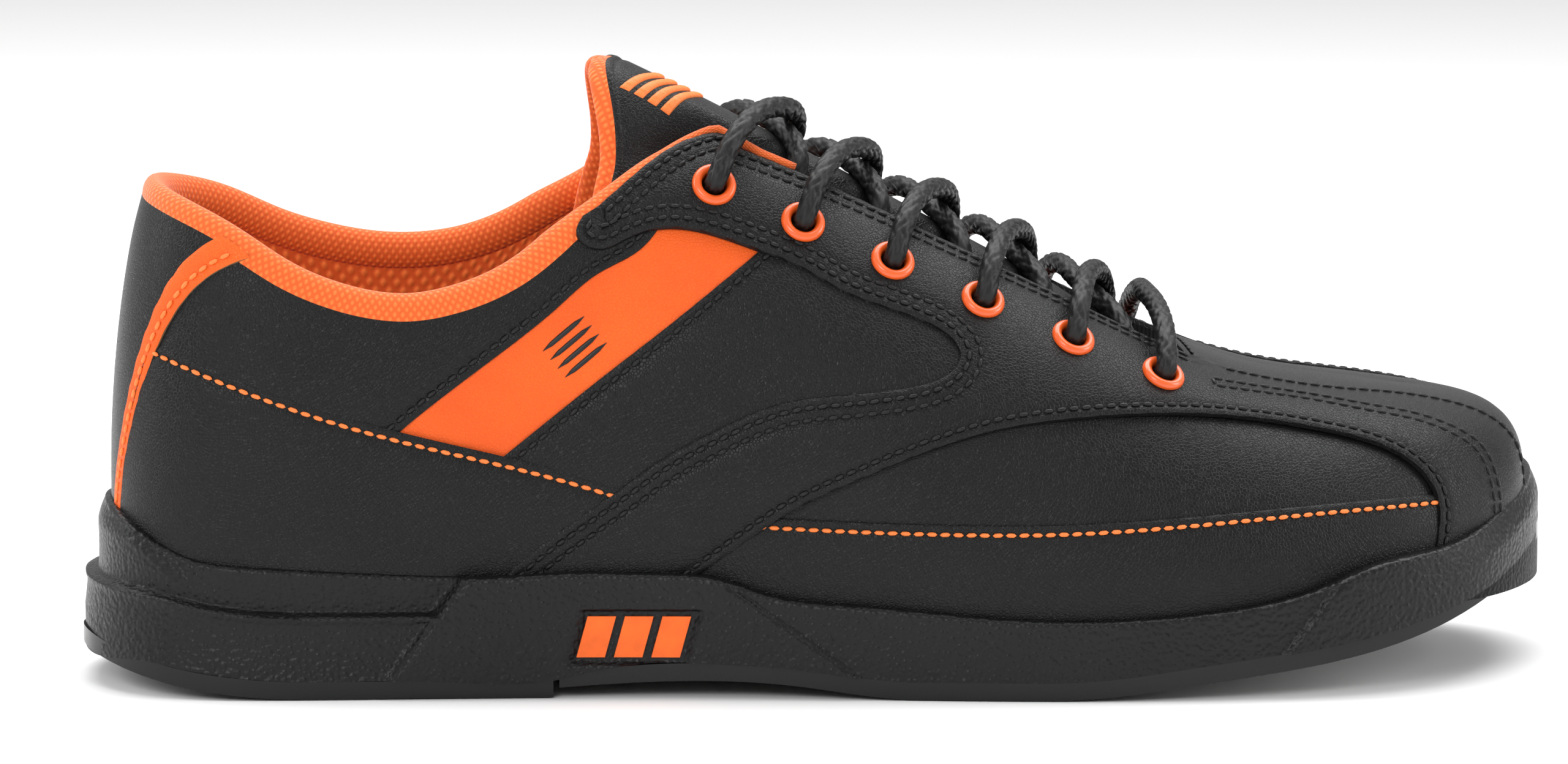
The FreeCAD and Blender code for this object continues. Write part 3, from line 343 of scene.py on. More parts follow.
def grid_faces(rows, columns, close_rows=False, close_columns=False):
    """Quads of a grid of points stored row by row."""
    row = np.arange(rows if close_rows else rows - 1)
    column = np.arange(columns if close_columns else columns - 1)
    r, c = [item.ravel() for item in np.meshgrid(row, column, indexing="ij")]
    r2, c2 = (r + 1) % rows, (c + 1) % columns
    return np.stack([r * columns + c, r2 * columns + c, r2 * columns + c2, r * columns + c2], axis=-1)


def tube_faces(rings, around):
    """Faces of a closed tube whose points are stored ring by ring."""
    faces = grid_faces(rings, around, close_columns=True).tolist()
    return faces + [list(range(around)), list(range((rings - 1) * around, rings * around))]


def slab_faces(rows, columns):
    """Faces of a closed slab: a grid of points, as many points again under it, and the rim between."""
    top = grid_faces(rows, columns)
    count = rows * columns
    border = (list(range(columns)) + [r * columns + columns - 1 for r in range(1, rows)]
              + [(rows - 1) * columns + c for c in range(columns - 2, -1, -1)]
              + [r * columns for r in range(rows - 2, 0, -1)])
    rim = [[a, b, b + count, a + count] for a, b in zip(border, border[1:] + border[:1])]
    return top.tolist() + (top[:, ::-1] + count).tolist() + rim


def copies_of(shape, faces, frames):
    """Many copies of one small shape: frames are (centres, x axes, y axes, z axes)."""
    centres, x_axes, y_axes, z_axes = [item[:, None] for item in frames]
    x, y, z = [shape[None, :, axis:axis + 1] for axis in range(3)]
    points = centres + x * x_axes + y * y_axes + z * z_axes
    offsets = np.arange(len(points)) * len(shape)
    all_faces = [[int(index + offset) for index in face] for offset in offsets for face in faces]
    return points.reshape(-1, 3), all_faces


def capsule(length, width, height, around=7, along=6):
    """Closed rounded rod along x, as points and faces."""
    t = np.linspace(-1, 1, along)
    radius = ((1 - np.abs(t) ** 3.0) ** 0.5 * 0.92 + 0.08)[:, None]
    angle = np.arange(around) * 2 * math.pi / around
    points = np.stack([np.repeat(t * length / 2, around), (radius * np.cos(angle) * width / 2).ravel(),
                       (radius * np.sin(angle) * height / 2).ravel()], axis=-1)
    return points, tube_faces(along, around)


# ---------------------------------------------------------------- materials


# Sockets of the colour half of a mix node.
MIX_LOW, MIX_HIGH, MIX_RESULT = 6, 7, 2


class Shader:
    """Short way to build a node material round one principled shader."""

    def __init__(self, name, color, roughness, **sockets):
        self.material = bpy.data.materials.new(name)
        self.material.use_nodes = True
        self.tree = self.material.node_tree
        self.main = self.tree.nodes["Principled BSDF"]
        self.main.inputs["Base Color"].default_value = (*color, 1)
        self.main.inputs["Roughness"].default_value = roughness
        for socket, value in sockets.items():
            self.main.inputs[socket.replace("_", " ")].default_value = value
        self.material.diffuse_color = (*color, 1)
        self.height = None

    def node(self, kind, **values):
        item = self.tree.nodes.new(kind)
        for key, value in values.items():
            if hasattr(item, key):
                setattr(item, key, value)
            else:
                item.inputs[key.replace("_", " ")].default_value = value
        return item

    def link(self, source, target):
        self.tree.links.new(source, target)

    def place(self, scale=(1, 1, 1), uv=False, turn=0.0):
        """Coordinates: the object's metres, or the uv map's metres, times scale and turned about Z."""
        source = self.node("ShaderNodeTexCoord")
        mapping = self.node("ShaderNodeMapping")
        mapping.inputs["Scale"].default_value = scale
        mapping.inputs["Rotation"].default_value = (0, 0, turn)
        self.link(source.outputs["UV" if uv else "Object"], mapping.inputs["Vector"])
        return mapping.outputs["Vector"]

    def noise(self, scale, detail=3.0, roughness=0.55, stretch=(1, 1, 1)):
        item = self.node("ShaderNodeTexNoise", Scale=scale, Detail=detail, Roughness=roughness)
        self.link(self.place(stretch), item.inputs["Vector"])
        return item.outputs["Fac"]

    def cells(self, scale, feature):
        item = self.node("ShaderNodeTexVoronoi", feature=feature, Scale=scale)
        self.link(self.place(), item.inputs["Vector"])
        return item.outputs["Distance"]

    def wave(self, scale, uv=False, direction="X", distortion=0.0, turn=0.0):
        item = self.node("ShaderNodeTexWave", bands_direction=direction, Scale=scale, Distortion=distortion)
        self.link(self.place(uv=uv, turn=turn), item.inputs["Vector"])
        return item.outputs["Fac"]

    def math(self, operation, first, second):
        item = self.node("ShaderNodeMath", operation=operation)
        self.link(first, item.inputs[0])
        self.link(second, item.inputs[1])
        return item.outputs[0]

    def spread(self, value, low, high, new_low, new_high):
        item = self.node("ShaderNodeMapRange", From_Min=low, From_Max=high, To_Min=new_low, To_Max=new_high)
        self.link(value, item.inputs["Value"])
        return item.outputs["Result"]

    def relief(self, value, depth, strength=1.0):
        """Adds a bump layer of this depth in millimetres."""
        item = self.node("ShaderNodeBump", Strength=strength, Distance=depth * MM)
        self.link(value, item.inputs["Height"])
        if self.height is not None:
            self.link(self.height, item.inputs["Normal"])
        self.height = item.outputs["Normal"]
        self.link(self.height, self.main.inputs["Normal"])

    def colours(self, value, low_color, high_color, low, high):
        item = self.node("ShaderNodeMix", data_type="RGBA")
        self.link(self.spread(value, low, high, 0.0, 1.0), item.inputs["Factor"])
        item.inputs[MIX_LOW].default_value = (*low_color, 1)
        item.inputs[MIX_HIGH].default_value = (*high_color, 1)
        self.link(item.outputs[MIX_RESULT], self.main.inputs["Base Color"])

    def gloss(self, value, low_rough, high_rough, low=0.3, high=0.7):
        self.link(self.spread(value, low, high, low_rough, high_rough), self.main.inputs["Roughness"])


def shade(color, factor):
    return tuple(part * factor for part in color)


def leather(name, dark, light, roughness):
    shader = Shader(name, light, roughness, Specular_IOR_Level=0.24)
    pores = shader.cells(1500.0, "DISTANCE_TO_EDGE")
    creases = shader.noise(2600.0, 4.0, 0.6)
    patches = shader.noise(38.0, 3.0)
    # Colour: random patches of tone, times painted shade along the creases between the grain's pebbles.
    patches_and_crease_shade = shader.math("MULTIPLY", patches, shader.spread(pores, 0.0, 0.12, 0.6, 1.0))
    shader.colours(patches_and_crease_shade, dark, light, 0.2, 0.7)
    shader.gloss(creases, roughness - 0.07, roughness + 0.09)
    shader.relief(shader.spread(pores, 0.0, 0.16, 0.0, 1.0), 0.08, 0.6)
    shader.relief(creases, 0.09, 0.45)
    shader.relief(patches, 0.5, 0.25)
    return shader.material


def knit(name, dark, light, pitch, depth):
    """Knitted mesh: rows of loops leaning one way and the other, with a pit between them, and painted shade
    that darkens each pit.
    """
    shader = Shader(name, light, 0.8, Sheen_Weight=0.25, Sheen_Roughness=0.4)
    across = 0.157 / (pitch * MM)
    one = shader.wave(across, uv=True, turn=math.radians(38), distortion=0.15)
    other = shader.wave(across, uv=True, turn=math.radians(-38), distortion=0.15)
    pits = shader.math("MULTIPLY", one, other)
    fuzz = shader.noise(9000.0, 2.0)
    # painted shade: the dark colour goes where the pits sink between the loops
    shader.colours(pits, dark, light, 0.05, 0.6)
    shader.relief(pits, depth, 0.9)
    shader.relief(fuzz, 0.08, 0.5)
    return shader.material


def thread(name, dark, light):
    shader = Shader(name, light, 0.42, Specular_IOR_Level=0.3)
    strands = shader.noise(5200.0, 2.0, stretch=(1, 1, 3))
    shader.colours(strands, dark, light, 0.3, 0.7)
    shader.relief(strands, 0.05, 0.6)
    return shader.material


def pebbled_rubber(name, color, roughness):
    shader = Shader(name, color, roughness, Specular_IOR_Level=0.26)
    worms = shader.cells(1050.0, "SMOOTH_F1")
    grit = shader.noise(1900.0, 3.0)
    cloud = shader.noise(45.0, 2.0)
    shader.colours(shader.math("ADD", grit, cloud), shade(color, 0.75), shade(color, 1.3), 0.7, 1.3)
    shader.gloss(grit, roughness - 0.1, roughness + 0.1)
    shader.relief(shader.spread(worms, 0.1, 0.75, 1.0, 0.0), 0.22, 0.9)
    shader.relief(grit, 0.1, 0.6)
    return shader.material


def smooth_rubber(name, color, roughness):
    shader = Shader(name, color, roughness, Specular_IOR_Level=0.3)
    scuffs = shader.noise(120.0, 4.0)
    shader.colours(scuffs, shade(color, 0.8), shade(color, 1.2), 0.3, 0.7)
    shader.gloss(scuffs, roughness - 0.05, roughness + 0.1)
    shader.relief(scuffs, 0.1, 0.2)
    return shader.material


def woven(name, dark, light, scale):
    shader = Shader(name, light, 0.85, Sheen_Weight=0.2)
    warp = shader.wave(scale, direction="X", distortion=0.3)
    weft = shader.wave(scale, direction="Y", distortion=0.3)
    weave = shader.math("ADD", warp, weft)
    fuzz = shader.noise(4200.0, 2.0)
    # painted shade: where warp and weft both sink, between the threads, the colour is dark
    shader.colours(weave, dark, light, 0.3, 1.6)
    shader.relief(weave, 0.15, 0.7)
    shader.relief(fuzz, 0.1, 0.5)
    return shader.material


def enamel(name, color, roughness):
    shader = Shader(name, color, roughness, Coat_Weight=0.35, Coat_Roughness=0.15)
    ripple = shader.noise(420.0, 2.0)
    shader.colours(ripple, shade(color, 0.9), color, 0.3, 0.7)
    shader.gloss(ripple, roughness - 0.04, roughness + 0.06)
    shader.relief(ripple, 0.06, 0.25)
    return shader.material


def metal(name, color, roughness):
    shader = Shader(name, color, roughness, Metallic=1.0)
    scratches = shader.noise(500.0, 3.0, stretch=(1, 6, 1))
    shader.gloss(scratches, roughness - 0.08, roughness + 0.12)
    shader.relief(scratches, 0.03, 0.4)
    return shader.material


BLACK = (0.0024, 0.0024, 0.0026)
SOFT_BLACK = (0.0052, 0.0052, 0.0057)
ORANGE = (0.86, 0.125, 0.012)

black_leather = leather("black_leather", BLACK, SOFT_BLACK, 0.37)
orange_leather = leather("orange_leather", (0.74, 0.085, 0.008), ORANGE, 0.45)
# The dark colour of each knit is painted shade in its pits.
orange_knit = knit("orange_knit", (0.72, 0.10, 0.008), (0.93, 0.19, 0.03), 0.62, 0.22)
orange_mesh = knit("orange_mesh", (0.7, 0.10, 0.009), (0.95, 0.21, 0.035), 1.15, 0.42)
black_thread = thread("black_thread", (0.003, 0.003, 0.003), (0.008, 0.008, 0.008))
orange_thread = thread("orange_thread", (0.7, 0.13, 0.02), (0.95, 0.28, 0.07))
lace_yarn = thread("lace_yarn", (0.003, 0.003, 0.003), (0.010, 0.010, 0.010))
raw_edge = leather("raw_leather_edge", (0.10, 0.06, 0.03), (0.2, 0.12, 0.06), 0.8)
midsole_rubber = pebbled_rubber("midsole_rubber", (0.0048, 0.0048, 0.0052), 0.4)
outsole_rubber = smooth_rubber("outsole_rubber", (0.005, 0.005, 0.0055), 0.24)
badge_rubber = smooth_rubber("badge_rubber", (0.85, 0.13, 0.013), 0.42)
stroke_print = smooth_rubber("stroke_print", (0.012, 0.012, 0.012), 0.4)
black_textile = woven("black_textile", (0.006, 0.006, 0.006), (0.028, 0.028, 0.028), 420.0)
microfibre = woven("microfibre", (0.13, 0.125, 0.12), (0.24, 0.23, 0.22), 900.0)
orange_enamel = enamel("orange_enamel", (0.86, 0.11, 0.014), 0.3)
washer_brass = metal("washer_brass", (0.72, 0.55, 0.28), 0.35)
shank_steel = metal("shank_steel", (0.55, 0.55, 0.56), 0.35)
aglet_plastic = enamel("aglet_plastic", (0.01, 0.01, 0.01), 0.22)
foam = woven("foam", (0.5, 0.46, 0.36), (0.72, 0.68, 0.56), 1500.0)
stiffener = woven("stiffener", (0.35, 0.32, 0.26), (0.55, 0.5, 0.42), 600.0)
board = woven("insole_board", (0.24, 0.17, 0.1), (0.42, 0.31, 0.2), 500.0)

# ---------------------------------------------------------------- laying panels on the form

TABLE_THETAS = np.linspace(0, math.pi, 241)
TABLE_SPANS = np.linspace(0, 1, 101)


def rib_lengths(side):
    """Length along each rib from the ridge, by theta and span."""
    theta, span = np.meshgrid(TABLE_THETAS, TABLE_SPANS, indexing="ij")
    points = surface(theta, np.maximum(span, 1e-6) * side)
    steps = np.linalg.norm(np.diff(points, axis=1), axis=-1)
    return np.concatenate([np.zeros((len(TABLE_THETAS), 1)), np.cumsum(steps, axis=1)], axis=1)


RIB_LENGTHS = np.stack([rib_lengths(LATERAL), rib_lengths(MEDIAL)])


def flatten(theta, span):
    """Plan of the upper with each rib rolled out level from its ridge point."""
    theta, span, side = folded(theta, span)
    layer = (side + 1) // 2
    row = np.clip(theta / math.pi * (len(TABLE_THETAS) - 1), 0, len(TABLE_THETAS) - 1.001)
    column = np.clip(np.abs(span) * (len(TABLE_SPANS) - 1), 0, len(TABLE_SPANS) - 1.001)
    i, j = row.astype(int), column.astype(int)
    a, b = row - i, column - j
    length = ((1 - a) * (1 - b) * RIB_LENGTHS[layer, i, j] + a * (1 - b) * RIB_LENGTHS[layer, i + 1, j]
              + (1 - a) * b * RIB_LENGTHS[layer, i, j + 1] + a * b * RIB_LENGTHS[layer, i + 1, j + 1])
    share = (1 - np.cos(theta)) / 2
    ridge_x = RIDGE_START + (RIDGE_END - RIDGE_START) * share
    ridge = np.stack([ridge_x, ridge_offset(ridge_x)], axis=-1)
    foot = feather_point(position_at(share, side))
    return ridge + unit(foot - ridge) * length[..., None]


def scatter(spacing, columns=84):
    """Surface coordinates spread evenly over the whole upper."""
    rows = []
    theta = np.linspace(0, math.pi, 700)
    for side in SIDES.values():
        for index, span in enumerate(np.linspace(0.01, 0.985, columns)):
            coordinates = np.stack([theta, np.full(theta.shape, span * side)], axis=-1)
            line = resample(coordinates, surface(*coordinates.T), spacing)
            if index % 2:
                line = (line[1:] + line[:-1]) / 2
            rows.append(line[1:-1])
    return np.concatenate(rows)


BATCH = 2000  # points handled at once


def nearest_distance(points, others):
    """Distance from each point to the nearest of the others."""
    result = np.empty(len(points))
    for start in range(0, len(points), BATCH):
        part = points[start:start + BATCH]
        squares = (part ** 2).sum(1)[:, None] + (others ** 2).sum(1)[None] - 2 * part @ others.T
        result[start:start + BATCH] = np.sqrt(np.maximum(squares.min(1), 0))
    return result


def inside_outline(points, outline):
    """Which points lie inside a closed outline."""
    x, y = points[:, 0:1], points[:, 1:2]
    x0, y0 = outline.T
    x1, y1 = np.roll(outline, -1, axis=0).T
    spans_y = (y0[None] > y) != (y1[None] > y)
    rise = np.where(y1 == y0, 1e-12, y1 - y0)
    cross = x < (x1 - x0)[None] * (y - y0[None]) / rise[None] + x0[None]
    return (spans_y & cross).sum(1) % 2 == 1


def inset(coordinates, offset, turn):
    """A line of surface coordinates moved sideways along the surface; turn is 1 or -1."""
    for _ in range(2):
        theta, span = coordinates.T
        points = surface(theta, span)
        tangent = unit(np.gradient(points, axis=0))
        sideways = np.cross(true_normal(theta, span), tangent) * turn * offset / 2
        along, across = slopes(theta, span)
        aa, bb, ab = (along ** 2).sum(-1), (across ** 2).sum(-1), (along * across).sum(-1)
        da, db = (along * sideways).sum(-1), (across * sideways).sum(-1)
        area = np.maximum(aa * bb - ab * ab, 1e-6)
        coordinates = np.stack([theta + (da * bb - db * ab) / area,
                                span + (db * aa - da * ab) / area], axis=-1)
    return coordinates


class Edge:
    """Part of a panel's outline: free edges show, and have rows of stitches at these offsets."""

    def __init__(self, coordinates, rows=(), thread="black", free=True):
        self.coordinates = coordinates
        self.rows = rows
        self.thread = thread
        self.free = free


def hidden(view, points, side):
    return Edge(edge(view, points, side, 3.0), free=False)


CUP_SPAN = 0.985  # where the panels end inside the sole's cup


def bottom_edge(theta_start, theta_end, side):
    """Hidden edge inside the sole's cup."""
    start = np.array([theta_start, CUP_SPAN * side])
    end = np.array([theta_end, CUP_SPAN * side])
    return Edge(np.concatenate([[start], straight_run(start, end), [end]]), free=False)


GRID_SPACING = 2.0
SCATTER = scatter(GRID_SPACING)
SCATTER_FLAT = flatten(*SCATTER.T)
SCATTER_POINTS = surface(*SCATTER.T)
GROOVE_WIDTH = 0.6
GROOVE_DEPTH = 0.36
ROUNDING_WIDTH = 0.85
ROUNDING_DROP = 0.34  # of the leather's thickness
ROUNDING_ROWS = (0.45, 1.0)
PUFF_REACH = 6.5
BRIDGE_FROM = 1.5
CLOSEST_ON_OUTLINE = 0.25
HOLE_MARGIN = 0.4
FAR_FROM_EDGES = 50.0
SHARP_ANGLE = math.radians(48)
seams = []


def edge_height(distance, level, thickness, puff):
    """Height of a panel's face: rounded over at a free edge and fuller away from it."""
    rounding = np.clip(1 - distance / ROUNDING_WIDTH, 0, 1) ** 2 * ROUNDING_DROP * thickness
    return level - rounding + puff * (1 - np.exp(-(distance / PUFF_REACH) ** 2))


def panel_outline(edges):
    """Closed loop of surface coordinates through the edges, bridged where they stand apart, and the
    points of the loop."""
    parts = []
    for item, following in zip(edges, edges[1:] + edges[:1]):
        parts.append(item.coordinates)
        last, first = item.coordinates[-1], following.coordinates[0]
        if np.linalg.norm(surface(*last) - surface(*first)) > BRIDGE_FROM:
            parts.append(straight_run(last, first))
    outline = np.concatenate(parts)
    points = surface(*outline.T)
    keep = np.linalg.norm(np.roll(points, -1, axis=0) - points, axis=1) > CLOSEST_ON_OUTLINE
    return outline[keep], points[keep]


def rings_beside(free_edges, border, turn):
    """Rows of places along the free edges: two for the rounding, and three for each stitch groove."""
    rings = [np.zeros((0, 2))]
    for item in free_edges:
        offsets = list(ROUNDING_ROWS)
        for row in item.rows:
            offsets += [row - GROOVE_WIDTH, row, row + GROOVE_WIDTH]
        for offset in offsets:
            ring = inset(item.coordinates, offset, turn)
            rings.append(ring[nearest_distance(surface(*ring.T), border) > offset * 0.93])
    return np.concatenate(rings)


def add_seams(free_edges, border, turn, level):
    """Keep the panel's stitch rows for build_stitches."""
    for item in free_edges:
        for row in item.rows:
            line = inset(item.coordinates, row, turn)
            clear = nearest_distance(surface(*line.T), border) > row * 0.9
            seams.append((line[clear], level, item.thread))


def triangles_between(coordinates, loops):
    """Triangles over all the coordinates that keep the loops, which come first, as edges."""
    borders = []
    start = 0
    for loop in loops:
        borders += [(start + i, start + (i + 1) % len(loop)) for i in range(len(loop))]
        start += len(loop)
    plan = flatten(*coordinates.T)
    result = delaunay_2d_cdt([Vector(p) for p in plan.tolist()], borders, [], 0, 1e-7)
    found, faces, origins = np.array([tuple(p) for p in result[0]]), result[2], result[3]
    source = np.array([origin[0] if origin else ((plan - spot) ** 2).sum(1).argmin()
                       for origin, spot in zip(origins, found)])
    faces = source[np.array(faces)]
    inside = inside_outline(plan[faces].mean(1), plan[:len(loops[0])])
    whole = (faces != np.roll(faces, 1, axis=1)).all(axis=1)
    return faces[inside & whole]


def panel_height(spots, free_edges, level, thickness, puff):
    """Height of the panel's face over each spot, with its stitch grooves."""
    distance = np.full(len(spots), FAR_FROM_EDGES)
    grooves = np.zeros(len(spots))
    for item in free_edges:
        border = surface(*item.coordinates.T)
        away = nearest_distance(spots, resample(border, border, 0.5))
        distance = np.minimum(distance, away)
        for row in item.rows:
            grooves += GROOVE_DEPTH * np.exp(-((away - row) / (GROOVE_WIDTH * 0.8)) ** 2)
    return edge_height(distance, level, thickness, puff) - grooves


LEATHERS = {"black_leather": black_leather, "orange_leather": orange_leather}


def make_panel(name, edges, layer, node, leather_slot="black_leather", holes=(), puff=0.35,
               side_material=None):
    """A leather panel between its edges, in place of a CAD node: rounded free edges, a groove under each
    stitch row, and holes for the eyelet barrels round the given centres."""
    level, thickness = LEVELS[layer], THICKNESSES[layer]
    free_edges = [item for item in edges if item.free]
    outline, points = panel_outline(edges)
    flat = flatten(*outline.T)
    following = np.roll(flat, -1, axis=0)
    turn = 1 if (flat[:, 0] * following[:, 1] - following[:, 0] * flat[:, 1]).sum() > 0 else -1
    rings = rings_beside(free_edges, points, turn)
    add_seams(free_edges, points, turn, level)
    rings = rings[inside_outline(flatten(*rings.T), flat)]
    taken = np.concatenate([points, surface(*rings.T)])
    near = inside_outline(SCATTER_FLAT, flat)
    near[near] = nearest_distance(SCATTER_POINTS[near], taken) > 0.45 * GRID_SPACING
    loops = [outline]
    if len(holes):
        near &= nearest_distance(SCATTER_POINTS, holes) > BARREL_RADIUS + HOLE_MARGIN
        rings = rings[nearest_distance(surface(*rings.T), holes) > BARREL_RADIUS + HOLE_MARGIN]
        loops += [hole_rim(centre, BARREL_RADIUS) for centre in holes]
    coordinates = np.concatenate(loops + [rings, SCATTER[near]])
    faces = triangles_between(coordinates, loops)
    if len(holes):
        middles = surface(*coordinates.T)[faces].mean(1)
        faces = faces[nearest_distance(middles, holes) > BARREL_RADIUS * 0.97]
    used, faces = np.unique(faces, return_inverse=True)
    faces = faces.reshape(-1, 3)
    coordinates = coordinates[used]
    height = panel_height(surface(*coordinates.T), free_edges, level, thickness, puff)
    top = surface(*coordinates.T, height)
    under = surface(*coordinates.T, level - thickness)
    count = len(top)
    sides = np.concatenate([faces[:, [0, 1]], faces[:, [1, 2]], faces[:, [2, 0]]]).tolist()
    sides = dict.fromkeys(map(tuple, sides))
    walls = [(a, b, b + count, a + count) for a, b in sides if (b, a) not in sides]
    all_faces = faces.tolist() + (faces[:, ::-1] + count).tolist() + walls
    piece = add_mesh(name, np.concatenate([top, under]), all_faces, LEATHERS[leather_slot])
    if side_material is not None:
        piece.data.materials.append(side_material)
        index = [0] * (2 * len(faces)) + [1] * len(walls)
        piece.data.polygons.foreach_set("material_index", index)
    piece.data.set_sharp_from_angle(angle=SHARP_ANGLE)
    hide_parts(node)


# ---------------------------------------------------------------- eyelet places

EYELET_ROWS = 6
FIRST_ROW_X = -12.0
ROW_PITCH = 15.4
EYELET_SPANS = (0.36, 0.395)
BARREL_RADIUS = 3.1


def row_x(row):
    return FIRST_ROW_X + ROW_PITCH * row


def eyelet_span(row):
    share = row / (EYELET_ROWS - 1)
    return EYELET_SPANS[0] + (EYELET_SPANS[1] - EYELET_SPANS[0]) * share


def eyelet_coordinates(side):
    rows = np.arange(EYELET_ROWS)
    return np.stack([theta_of(row_x(rows)), eyelet_span(rows) * side], axis=-1)


HOLE_STEPS = 20


def hole_rim(centre, radius):
    """Loop of surface coordinates round a hole."""
    side = LATERAL if centre[1] < ridge_offset(centre[0]) else MEDIAL
    middle = find("top", [centre[:2]], side)[0]
    along, across = slopes(*middle)
    loop = []
    for angle in np.arange(HOLE_STEPS) * 2 * math.pi / HOLE_STEPS:
        step = unit(along) * math.cos(angle) + unit(np.cross(true_normal(*middle), along)) * math.sin(angle)
        matrix = np.stack([along, across], axis=-1)
        shift = np.linalg.lstsq(matrix, step * radius, rcond=None)[0]
        loop.append(middle + shift)
    return np.array(loop)


# ---------------------------------------------------------------- panel outlines

COLLAR_SIDE = {
    "lateral": [(-134, 99), (-122, 93.5), (-110, 86), (-101, 82), (-92, 79.6), (-84, 79), (-76, 80.3),
                (-68, 83), (-60, 87.5), (-52, 94), (-45, 99.5), (-38, 105), (-31, 109.5), (-24, 111.8),
                (-17, 112.2)],
    "medial": [(-134, 99.6), (-122, 96), (-110, 90.5), (-100, 87.2), (-90, 85.2), (-80, 84.8), (-70, 86.3),
               (-60, 90.2), (-52, 95), (-45, 99.5), (-38, 105), (-31, 109.5), (-24, 111.8), (-17, 112.2)],
}
COLLAR_HEEL_Z = 100.6
THROAT = {
    "lateral": [(-17, -16), (0, -16), (20, -17), (40, -18), (58, -18.5), (68, -19), (76, -19.2)],
    "medial": [(-17, 17.2), (0, 17.8), (20, 18.8), (40, 20), (58, 21.2), (68, 22), (76, 22.4)],
}
STRIP = {
    "lateral": [(83, -18.5), (93, -16), (109, -14), (121, -11), (134, -9), (146, -8)],
    "medial": [(83, 22), (93, 21), (109, 21.5), (121, 23), (134, 24.5), (146, 25.5)],
}
OVERLAY_UPPER_EDGE = [(-49, 97), (-50.5, 93.5), (-47, 90.5), (-40, 92.5), (-32, 94.5), (-24, 93.5),
                      (-15, 90.5), (-5, 86.5), (4, 81.5), (12, 78.5), (20, 75.5), (25.5, 72), (27, 69),
                      (25, 65.8), (21, 63.8), (13, 62.3), (4, 61.3), (-6, 60.3), (-15, 57.7), (-24, 53.5),
                      (-34, 48), (-42, 42.3), (-51, 36), (-60, 29.3), (-68, 22), (-73, 17)]
SADDLE_LOWER_EDGE = [(-38, 14), (-32, 20), (-20, 29.5), (-7, 38.5), (4, 43.8), (13, 47.7), (24, 51.8),
                     (34, 54.5), (48, 56.3), (62, 56.8), (75, 56.3), (90, 54.4), (103, 51.9), (112, 49.5),
                     (119, 46.2), (123.5, 42), (125.5, 37.5), (125.5, 32), (124.5, 26)]
# Where the orange inlay's neighbours end under the overlay, and the same for the forefoot panel.
FRONT_QUARTER_HIDDEN = [(-4, 93), (6, 87), (16, 82.5), (26, 78), (33, 72), (33, 65), (27, 60), (14, 56),
                        (-4, 54.5), (-13, 52), (-24, 47), (-36, 40), (-50, 36), (-64, 36)]
FOREFOOT_HIDDEN = [(-14, 31), (-14, 38), (-12, 42), (2, 49.5), (13, 53.5), (24, 57.8), (34, 60.5),
                   (48, 62.3), (62, 62.8), (75, 62.3), (90, 60.4), (104, 57.5), (114, 54.5), (123, 50),
                   (129, 43.5), (131, 38), (130.5, 33)]
MUDGUARD_TOP = [(-40, 37.6), (-20, 36.8), (0, 36), (20, 35.5), (45, 35.5), (61, 36.2), (77, 37.2),
                (94, 38.2), (111, 38.8), (129, 39)]
QUARTER_TOP = [(-138, 72), (-134, 70.5), (-119, 64.7), (-104, 59.3), (-85, 53.7), (-64, 48.6), (-40, 41.6),
               (-34, 39.4)]
SLASH_BACK = [(-95, 46.8), (-85, 55.5), (-64, 71.5), (-54, 79.5), (-46, 86), (-37, 91), (-32, 97)]
SLASH_FRONT = [(-75, 41.5), (-65, 49.5), (-44, 66.3), (-33, 74.7), (-23, 82.5), (-12, 91)]
BACK_PANEL = [(6, 25), (9.3, 38), (13.4, 50), (17.4, 64), (20.7, 77), (23.9, 88), (26.5, 94)]
TRIM_WIDTH = profile([(25, 5.6), (50, 4.4), (70, 3.8), (90, 4.2), (104, 5)])
SLASH_LAP = 5.0
DOUBLE_ROW = (1.9, 4.3)
SINGLE_ROW = (1.9,)
LEVELS = {"slash": -1.3, "forefoot": -1.1, "quarter": -0.6, "lower_quarter": 0.0, "mudguard": -0.3,
          "overlay": 0.75, "strip": -0.5, "back": -0.1, "trim": 0.45}
THICKNESSES = {"slash": 1.2, "forefoot": 1.1, "quarter": 1.3, "lower_quarter": 1.3, "mudguard": 1.3,
               "overlay": 1.5, "strip": 1.3, "back": 1.3, "trim": 1.0}


def shifted(points, dx, dz):
    return [(x + dx, z + dz) for x, z in points]


def collar_line(side_name):
    """The collar's edge on the leather, from the middle of the heel forwards."""
    side = SIDES[side_name]
    front = edge("side", COLLAR_SIDE[side_name], side)
    spans = np.linspace(0.05, 0.95, 400)
    heights = surface(0.0, spans * side)[:, 2]
    middle_span = np.interp(-COLLAR_HEEL_Z, -heights, spans) * side
    ends = np.array([[0.0, middle_span], [0.05, middle_span + (front[0][1] - middle_span) * 0.12]])
    join = np.concatenate([ends, front])
    knots = length_along(surface(*join.T))
    smooth = natural_spline(knots, join)(np.linspace(0, knots[-1], 600))
    smooth[:, 0] = np.maximum(smooth[:, 0], 0)
    return resample(smooth, surface(*smooth.T), EDGE_SPACING)


COLLAR = {name: collar_line(name) for name in SIDES}


def collar_part(side_name, theta_from, theta_to):
    line = COLLAR[side_name]
    part = line[(line[:, 0] >= min(theta_from, theta_to)) & (line[:, 0] <= max(theta_from, theta_to))]
    return part if theta_to > theta_from else part[::-1]


def heel_edge(side, extra):
    """Rear-view edge beside the back panel, from the sole up to the collar."""
    points = [(side * (width + extra * TRIM_WIDTH(z)), z) for width, z in BACK_PANEL]
    line = edge("rear", points, side)
    collar = COLLAR[SIDE_NAMES[side]]
    limit = np.interp(line[:, 0], collar[:, 0], np.abs(collar[:, 1]))
    return line[np.abs(line[:, 1]) > limit + 0.004]


def around_heel(coordinates):
    """The same places seen as a continuation of the outer side past theta 0."""
    return coordinates * -1.0


